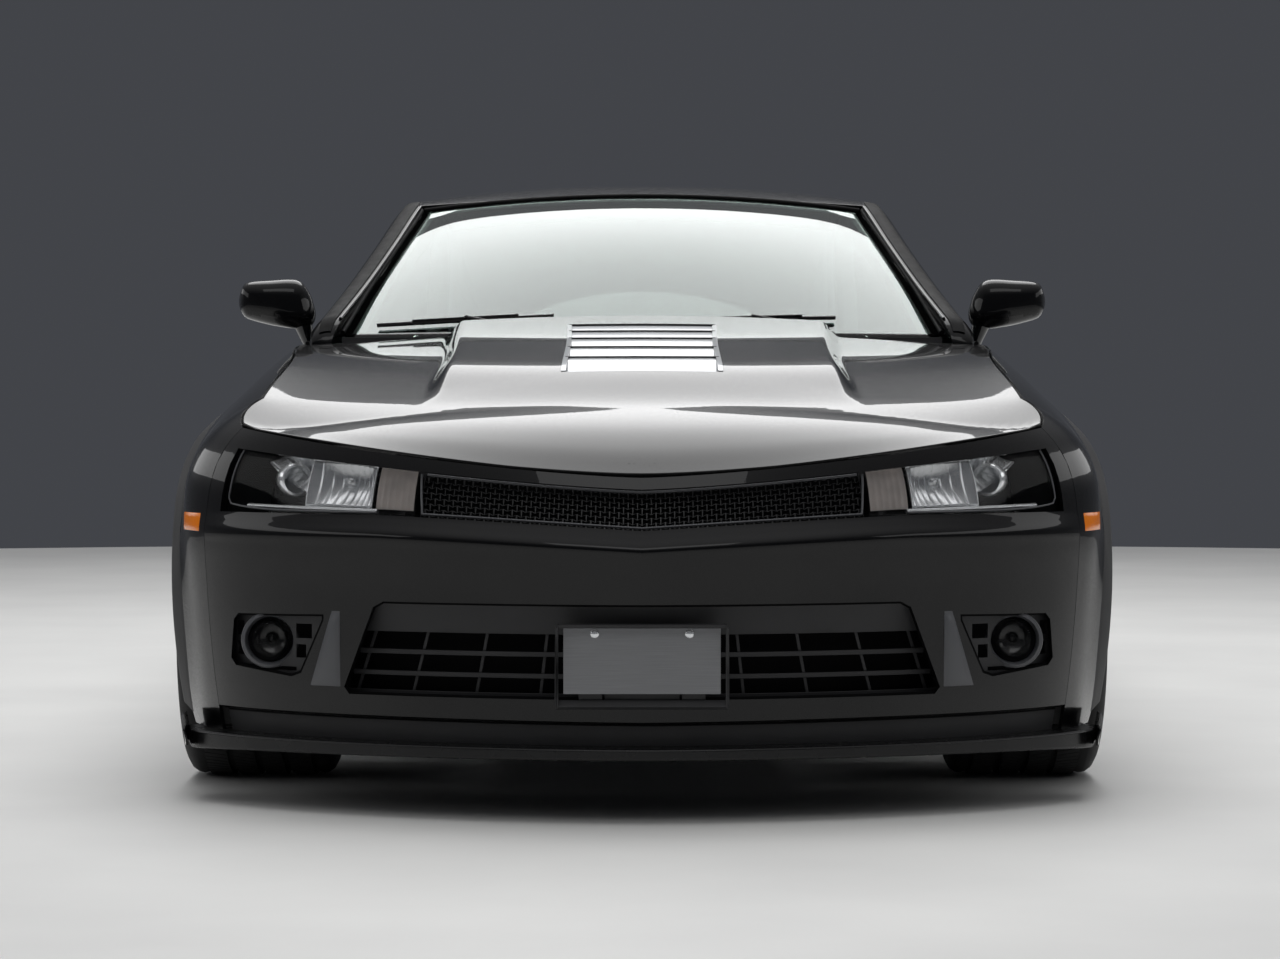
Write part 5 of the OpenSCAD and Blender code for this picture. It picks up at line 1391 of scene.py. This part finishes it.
hub = spun([(0, 124), (26, 124), (30, 121), (31, 116), (36, 114), (66, 114), (80, 112), (84, 106), (84, 68), (30, 66),
            (28.5, 66), (28.5, 112), (0, 112)], 60, 0)
NUT_R = 52
nuts = [spun([(0, 130), (7, 130), (10.5, 126), (10.5, 108)], 6, 0) for _ in range(5)]
for k, nut in enumerate(nuts):
    a = k * 0.4 * math.pi + 0.63
    bmesh.ops.translate(nut, vec=Vector((0, NUT_R * math.cos(a), NUT_R * math.sin(a))), verts=nut.verts[:])
rim_bm = joined(barrel, hub, *[spoke_bm(math.radians(72 * k + m * 13 + 90)) for k in range(5) for m in (-1, 1)])
nut_bm = joined(*nuts)

# Brake discs: vented cast iron with a bell; the faces are ground bright.
# Ground cast iron: grey, with fine rings.
iron = finish_of("ground_cast_iron", Metallic=0.9)
pores = add(iron, "TexNoise", {"Scale": 180.0, "Detail": 4.0})
add(iron, "ValToRGB", {"Fac": pores}, "Base Color", ["#6d6f72", "#93959a"])
add(iron, "MapRange", {"Value": pores, "To Min": 0.28, "To Max": 0.5}, "Roughness")
disc_bm = spun([(30, 62), (88, 62), (92, 56), (92, 53), (122, 53.5), (193, 54), (195, 52), (195, 42), (186, 41),
                (186, 31), (195, 30), (195, 20), (193, 18), (118, 18), (114, 22), (86, 22), (84, 54), (30, 55),
                (30, 62)], 96, 0)


def corner(bm, name, finish, body, node, slot, side, row, flat):
    """Copy of a wheel part at one corner of the car."""
    twin = bm.copy()
    if side < 0:
        bmesh.ops.scale(twin, vec=(-1, 1, 1), verts=twin.verts[:])
        bmesh.ops.reverse_faces(twin, faces=twin.faces[:])
    bmesh.ops.translate(twin, vec=Vector((side * WHEEL_X[row], (AXLE_F, AXLE_R)[row], HUB_Z)), verts=twin.verts[:])
    bmesh.ops.scale(twin, vec=(MM, MM, MM), verts=twin.verts[:])
    fit(twin, name, finish, slot, node, body, flat=flat)


for tag, side, row in (("fl", 1, 0), ("fr", -1, 0), ("rl", 1, 1), ("rr", -1, 1)):
    body = "wheel_" + tag
    corner(tyre_bm, "tyre_tread_" + tag, tread_rubber, body, ["tyre_" + tag], "tyre", side, row, 35)
    corner(rim_bm, "wheel_spokes_" + tag, forged, body, [body], "wheel", side, row, 50)
    corner(nut_bm, "wheel_nuts_" + tag, stainless, body, (), "wheel", side, row, 30)
    corner(disc_bm, "brake_disc_" + tag, iron, body, (), "steel", side, row, 35)

# Running gear: cast knuckles with their calipers, welded arms and axle, dip painted; the rails and
# bulkheads are pressed and welded steel; the liners are felted plastic.
# Cast aluminium: pale grey, sand-cast skin of about 1.2 mm grain.
cast = finish_of("sand_cast_aluminium", Base_Color=linear("#84878b"), Metallic=0.85, Roughness=0.5)
sand = add(cast, "TexNoise", {"Scale": 800.0, "Detail": 2.0})
add(cast, "Bump", {"Height": sand, "Strength": 0.3, "Distance": 0.0006}, "Normal")
clad(cast, "knuckle_left", "knuckle_right", "engine")
clad(dipped, "front_arms", "rear_axle", "front_rails", "rear_frame", "bulkheads")
clad(carpet, "wheel_liners")

# Liner skirts: felted sheets that carry each liner out to the wing's edge, and down to the sill and
# the bumper.
LINER_R = ARCH_R + 11


def skirt(axle, a0, a1, inner):
    def at(u, v):
        a = math.radians(mix(a0, a1, u))
        y, z = axle - LINER_R * math.cos(a), HUB_Z + LINER_R * math.sin(a)
        return mix(inner, side_x(y, z) - 10, v), y, z
    return skin(12 if abs(a1 - a0) < 40 else 48, 6, at)


fit(both(joined(skirt(AXLE_F, -16, 8, 470), skirt(AXLE_F, 172, 185, 470), skirt(AXLE_R, -4, 8, 470),
                skirt(AXLE_R, 172, 185, 470), skirt(AXLE_F, 8, 172, 822), skirt(AXLE_R, 8, 172, 822))),
    "liner_skirts", carpet, "black_plastic", wall=3)

# Engine cover: a moulded lid with two ribbed banks over the block
def cover_point(u, v):
    x, y = mix(-300, 300, u), mix(AXLE_F - 330, DOOR_F - 150, v)
    bank = ease(1 - abs(abs(x) - 165) / 120)
    rib = 2.5 * (math.sin(y / 14) > 0) * ease(1 - abs(abs(x) - 165) / 80)
    shut = (1 - abs(2 * u - 1) ** 8) * (1 - abs(2 * v - 1) ** 10)
    return x, y, 781 + (4 + 20 * bank + rib) * shut


fit(skin(72, 120, cover_point), "engine_cover", urethane, "engine", wall=0.6, flat=50)

# Seats: foam pads in black leather on a moulded shell. The pads swell under their own pressure
# while the seams hold them in.
# Full-grain leather: near-black, with pebble grain of about 3 mm and a satin sheen.
leather = finish_of("full_grain_leather")
pebble = add(leather, "TexVoronoi", {"Scale": 330.0}, feature="DISTANCE_TO_EDGE")
add(leather, "Bump", {"Height": pebble, "Strength": 0.3, "Distance": 0.0008}, "Normal")
rub = add(leather, "TexNoise", {"Scale": 9.0, "Detail": 4.0})
add(leather, "ValToRGB", {"Fac": rub}, "Base Color", ["#141416", "#242427"])
add(leather, "MapRange", {"Value": rub, "To Min": 0.36, "To Max": 0.55}, "Roughness")
SEAT_X, SEAT_Y = 365.0, mix(DOOR_F, DOOR_R, 0.62)


def pad_mesh(size, bend, corner_r):
    """Rounded block of a given size whose points a function then bends to place, in mm."""
    bm = bmesh.new()
    bmesh.ops.create_cube(bm, size=1)
    bmesh.ops.scale(bm, vec=size, verts=bm.verts[:])
    bmesh.ops.bevel(bm, geom=bm.edges[:], offset=corner_r, segments=4, profile=0.5, affect="EDGES", material=-1)
    bmesh.ops.subdivide_edges(bm, edges=[e for e in bm.edges if e.calc_length() > 60], cuts=7, use_grid_fill=True)
    for v in bm.verts:
        v.co = Vector(bend(v.co.x / size[0] * 2, v.co.y / size[1] * 2, v.co.z / size[2] * 2)) * MM
    return bm


PAD_FILL, PAD_FRAMES = 0.7, 20


def pad(bm, name, swell, seams, voxel=0.008):
    """Padded piece: remeshed, swollen by pressure up to a limit, then drawn in along its seams."""
    data = bpy.data.meshes.new(name)
    bmesh.ops.recalc_face_normals(bm, faces=bm.faces[:])
    bm.to_mesh(data)
    bm.free()
    ob = bpy.data.objects.new(name, data)
    scene.collection.objects.link(ob)
    shell = ob.modifiers.new("even_mesh", "REMESH")
    shell.mode = "VOXEL"
    shell.voxel_size = voxel
    graph = bpy.context.evaluated_depsgraph_get()
    even = bpy.data.meshes.new_from_object(ob.evaluated_get(graph))
    ob.modifiers.clear()
    ob.data = even
    before = [v.co.copy() for v in even.vertices]
    cloth = ob.modifiers.new("pressure", "CLOTH")
    cloth.settings.use_pressure = True
    cloth.settings.uniform_pressure_force = 4.0
    cloth.settings.effector_weights.gravity = 0.0
    cloth.settings.quality = 4
    cloth.settings.tension_stiffness = 20.0
    cloth.settings.bending_stiffness = 4.0
    for step in range(PAD_FRAMES):
        scene.frame_set(step + 1)
    swollen = ob.evaluated_get(bpy.context.evaluated_depsgraph_get()).to_mesh()
    after = [v.co.copy() for v in swollen.vertices]
    ob.modifiers.remove(cloth)
    for v, a, b in zip(even.vertices, before, after):
        move = b - a
        v.co = a + move * min(1.0, swell * MM / max(move.length, 1e-9))
    scene.frame_set(1)
    normals = [v.normal.copy() for v in even.vertices]
    for v, n in zip(even.vertices, normals):
        v.co += Vector(seams(v.co / MM, n)) * MM
    for f in even.polygons:
        f.use_smooth = True
    even.materials.clear()
    even.materials.append(leather)
    smooth = ob.modifiers.new("smooth", "SUBSURF")
    smooth.levels = smooth.render_levels = 1
    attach(ob, "body")
    return ob


def groove(d, wide=9.0, deep=6.0):
    return deep * max(0.0, 1 - abs(d) / wide) ** 2


def cushion_bend(x, y, z):
    side = 28 * abs(x) ** 4 * max(z, 0)
    crown = 14 * (1 - x * x) * (1 - y * y) * max(z, 0)
    return (SEAT_X + x * (238 - 10 * (1 - y * y) * 0.5), SEAT_Y - 35 + y * 250,
            336 + z * 40 + side + crown * 0.4 + 8 * (y < 0) * y * -z)


def cushion_seams(p, n):
    x, y = p.x - SEAT_X, p.y - SEAT_Y + 35
    pull = groove(abs(x) - 150) + sum(groove(y - at, 8, 4) * (abs(x) < 150) for at in (-130, -40, 50, 140))
    return n * -(pull if n.z > 0.3 else groove(p.z - 318, 6, 3))


def back_bend(x, y, z):
    up = (z + 1) / 2
    side = 34 * abs(x) ** 4 * max(-y, 0) * (1 - 0.4 * up)
    return (SEAT_X + x * mix(236, 205, up), SEAT_Y + mix(196, 348, up) + y * 34 - side + 8 * (1 - x * x) * min(y, 0),
            mix(330, 862, up))


def back_seams(p, n):
    x = p.x - SEAT_X
    pull = groove(abs(x) - 140) + sum(groove(p.z - at, 8, 4) * (abs(x) < 140) for at in (430, 520, 610, 700, 780))
    return n * -(pull if n.y < -0.3 else groove(abs(x) - 190, 6, 3))


def rest_bend(x, y, z):
    return SEAT_X + x * 112, SEAT_Y + 372 + y * 32 - 6 * (1 - x * x) * (y < 0), 936 + z * 70


def rest_seams(p, n):
    return n * -groove(abs(p.x - SEAT_X) - 70, 7, 3)


parts = (("cushion", pad_mesh((476, 500, 80), cushion_bend, 32), cushion_seams, 12, ["seats_front"]),
         ("back", pad_mesh((460, 68, 560), back_bend, 28), back_seams, 12, []),
         ("head_rest", pad_mesh((224, 64, 140), rest_bend, 28), rest_seams, 8, []))
for word, mesh, seams, swell, node in parts:
    left = pad(mesh, "seat_" + word + "_left", swell, seams)
    if node:
        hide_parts(*node)
    mirrored(left, "seat_" + word + "_right")
# Shell under each pad, with the two slide rails and the head-rest posts
base = bmesh.new()
bmesh.ops.create_cube(base, size=1)
bmesh.ops.scale(base, vec=(400 * MM, 380 * MM, 84 * MM), verts=base.verts[:])
uprights = [e for e in base.edges if abs(e.verts[0].co.z - e.verts[1].co.z) > 0.01]
bmesh.ops.bevel(base, geom=uprights, offset=0.04, segments=4, profile=0.5, affect="EDGES", material=-1)
bmesh.ops.translate(base, vec=Vector((SEAT_X, SEAT_Y - 30, 250)) * MM, verts=base.verts[:])
slides = [rod([(SEAT_X + x, SEAT_Y + y, 204) for y in (-240, 170)], 8) for x in (-150, 150)]
posts = [rod([(SEAT_X + x, SEAT_Y + mix(346, 372, t), mix(840, 900, t)) for t in shares(4)], 7) for x in (-60, 60)]
fit(both(joined(base, *slides, *posts)), "seat_shells", urethane, "seat", edge=3)


def bench_well(x):
    """Share of the hollow at each of the bench's two places."""
    return (math.cos(min(abs(abs(x) - 0.5) * 2, 1) * math.pi) + 1) / 2


def bench_bend(x, y, z):
    return x * 444, 966 + y * 214, 426 + z * 66 + (6 * (1 - y * y) - 26 * bench_well(x)) * max(z, 0)


def bench_back_bend(x, y, z):
    return x * 440, 1146 + y * 40 + 12 * bench_well(x) * (y < 0), 706 + z * 166


bench = pad(pad_mesh((888, 428, 132), bench_bend, 40), "rear_cushion", 12,
            lambda p, n: n * -(groove(abs(p.x) - 40) + groove(p.y - 830, 8, 4)) * (n.z > 0.3), 0.01)
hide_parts("rear_bench")
pad(pad_mesh((880, 80, 332), bench_back_bend, 30), "rear_back_rest", 12,
    lambda p, n: n * -(groove(abs(p.x) - 40) + groove(p.z - 640, 8, 4)) * (n.y < -0.3), 0.01)

# Dashboard: a moulded pad over the bulkhead with a cowl over the instruments, four round vents and a
# plain centre panel, and the steering column below it.
WALL_Y = DOOR_F - 12
DASH = [(2, 600), (2, 840), (30, 848), (68, 858), (98, 880), (125, 893), (200, 894), (290, 886),
        (330, 878), (366, 856), (388, 822), (390, 796), (372, 720), (342, 646), (318, 622), (270, 614), (150, 600)]


def dash_sweep(x):
    """How far the pad's face runs forwards towards its ends."""
    return 22 * (abs(x) / 688) ** 3


def dash_point(u, v):
    x = mix(-688, 688, u)
    back, z = DASH[round(v * len(DASH)) % len(DASH)]
    hood = ease(1 - abs(x - SEAT_X) / 230)
    lift = 34 * hood * ease(1 - abs(back - 300) / 130) * (z > 780)
    waist = 26 * ease(1 - abs(x) / 220) * (600 < z < 840) * (back > 300)
    return x, WALL_Y + back - dash_sweep(x) * (back > 300) - waist, z + lift


dash = closed(skin(76, len(DASH), dash_point))
for f in dash.faces:
    f.material_index = int(f.calc_center_median().z < 0.70)
fit(dash, "dash_pad", [vinyl, plastic], "dash", ["dashboard"], edge=2, flat=60)
vent_ring = [(44, -4), (46, 6), (42, 9), (38, 4), (36, -8), (0, -9)]
VENT_Y = WALL_Y + 366
dash_vents = joined(*[turned(vent_ring, (x, VENT_Y - dash_sweep(x), 770), steps=32) for x in (-600, -150, 150, 600)])
bmesh.ops.scale(dash_vents, vec=(1, -1, 1), space=Matrix.Translation((0, -VENT_Y * MM, 0)),
                verts=dash_vents.verts[:])
bmesh.ops.reverse_faces(dash_vents, faces=dash_vents.faces[:])
fit(dash_vents, "dash_vents", gloss_black, "dash")
fit(skin(16, 10, lambda u, v: (mix(88, -88, u), WALL_Y + mix(334, 352, v) + 2, mix(650, 725, v))),
    "centre_panel", gloss_black, "dash", wall=8, edge=2)


# Tunnel console with its gear lever
def console_point(u, v):
    crown = 1 - abs(2 * u - 1) ** 6
    rise = 40 * (1 - abs(2 * v - 1) ** 10) + 30 * ease((v - 0.55) / 0.1)
    return mix(-92, 92, u), mix(WALL_Y + 330, 560, v), 348 + crown * rise


fit(skin(20, 40, console_point), "tunnel_console", vinyl, "dash", edge=2, wall=1)
KNOB = [(0, 26), (14, 24), (23, 14), (25, 2), (21, -12), (12, -22), (7, -26)]
fit(joined(rod([(0, -130, 380), (0, -138, 430), (0, -144, 470)], 7), turned(KNOB, (0, -146, 488), "z", 28)),
    "gear_lever", leather, "dash", flat=60)

# Steering wheel: a leather rim on a cast spider with three spokes and a padded boss, on its column.
WHEEL_AXIS, WHEEL_TILT = Vector((SEAT_X, WALL_Y + 500, 800)), 24.0


def on_column(bm):
    """Stands a turning on the steering column's line."""
    return stood(bm, WHEEL_AXIS, Matrix.Rotation(math.radians(90 + WHEEL_TILT), 4, "X"))


GRIP, GRIP_R = 14.5, 172
ring = [(GRIP_R + GRIP * math.cos(k * math.pi / 9), GRIP * math.sin(k * math.pi / 9)) for k in range(19)]
fit(on_column(spun(ring, 64)), "steering_rim", leather, "dash", ["steering_wheel"], "steering_wheel", flat=60)


def arm_bm(turn):
    def at(u, v):
        r = mix(40, 164, u)
        a = 2 * math.pi * v
        half = mix(20, 13, u)
        return (r, math.sin(a) * half, -4 * (1 - u) + math.cos(a) * 6)
    bm = in_mm(closed(skin(10, 12, at)))
    bmesh.ops.rotate(bm, matrix=Matrix.Rotation(math.radians(turn), 3, "Z"), verts=bm.verts[:])
    return bm


fit(on_column(joined(arm_bm(0), arm_bm(180), arm_bm(270))),
    "steering_spider", silver, "dash", body="steering_wheel", flat=50)
fit(on_column(spun([(0, -27), (30, -26), (52, -21), (61, -11), (62, 2), (58, 14), (40, 19), (13, 19)], 48)),
    "steering_boss", vinyl, "dash", body="steering_wheel", flat=50)
column = on_column(spun([(0, 30), (12, 30), (12, 34), (30, 35), (34, 40), (34, 128), (30, 134), (0, 134)], 40))
fit(column, "steering_column", plastic, "dash", flat=50)

# Headlining: a moulded board in pale grey knit, under the roof skin.
# Knit cloth: light grey, with wales about 2 mm apart.
knit = finish_of("headlining_knit", Base_Color=linear("#4a4b4e"), Roughness=0.95, Sheen_Weight=0.4)
wales = add(knit, "TexWave", {"Scale": 160.0, "Distortion": 1.0})
add(knit, "Bump", {"Height": wales, "Strength": 0.3, "Distance": 0.0008}, "Normal")


def lining(u, v):
    x, y, z = roof_point(0.93 * (2 * u - 1), mix(0.02, 0.97, v))
    return x, y, z - 30


head_lining = skin(32, 24, lining)
bmesh.ops.reverse_faces(head_lining, faces=head_lining.faces[:])
fit(head_lining, "head_lining", knit, "seat", wall=3)
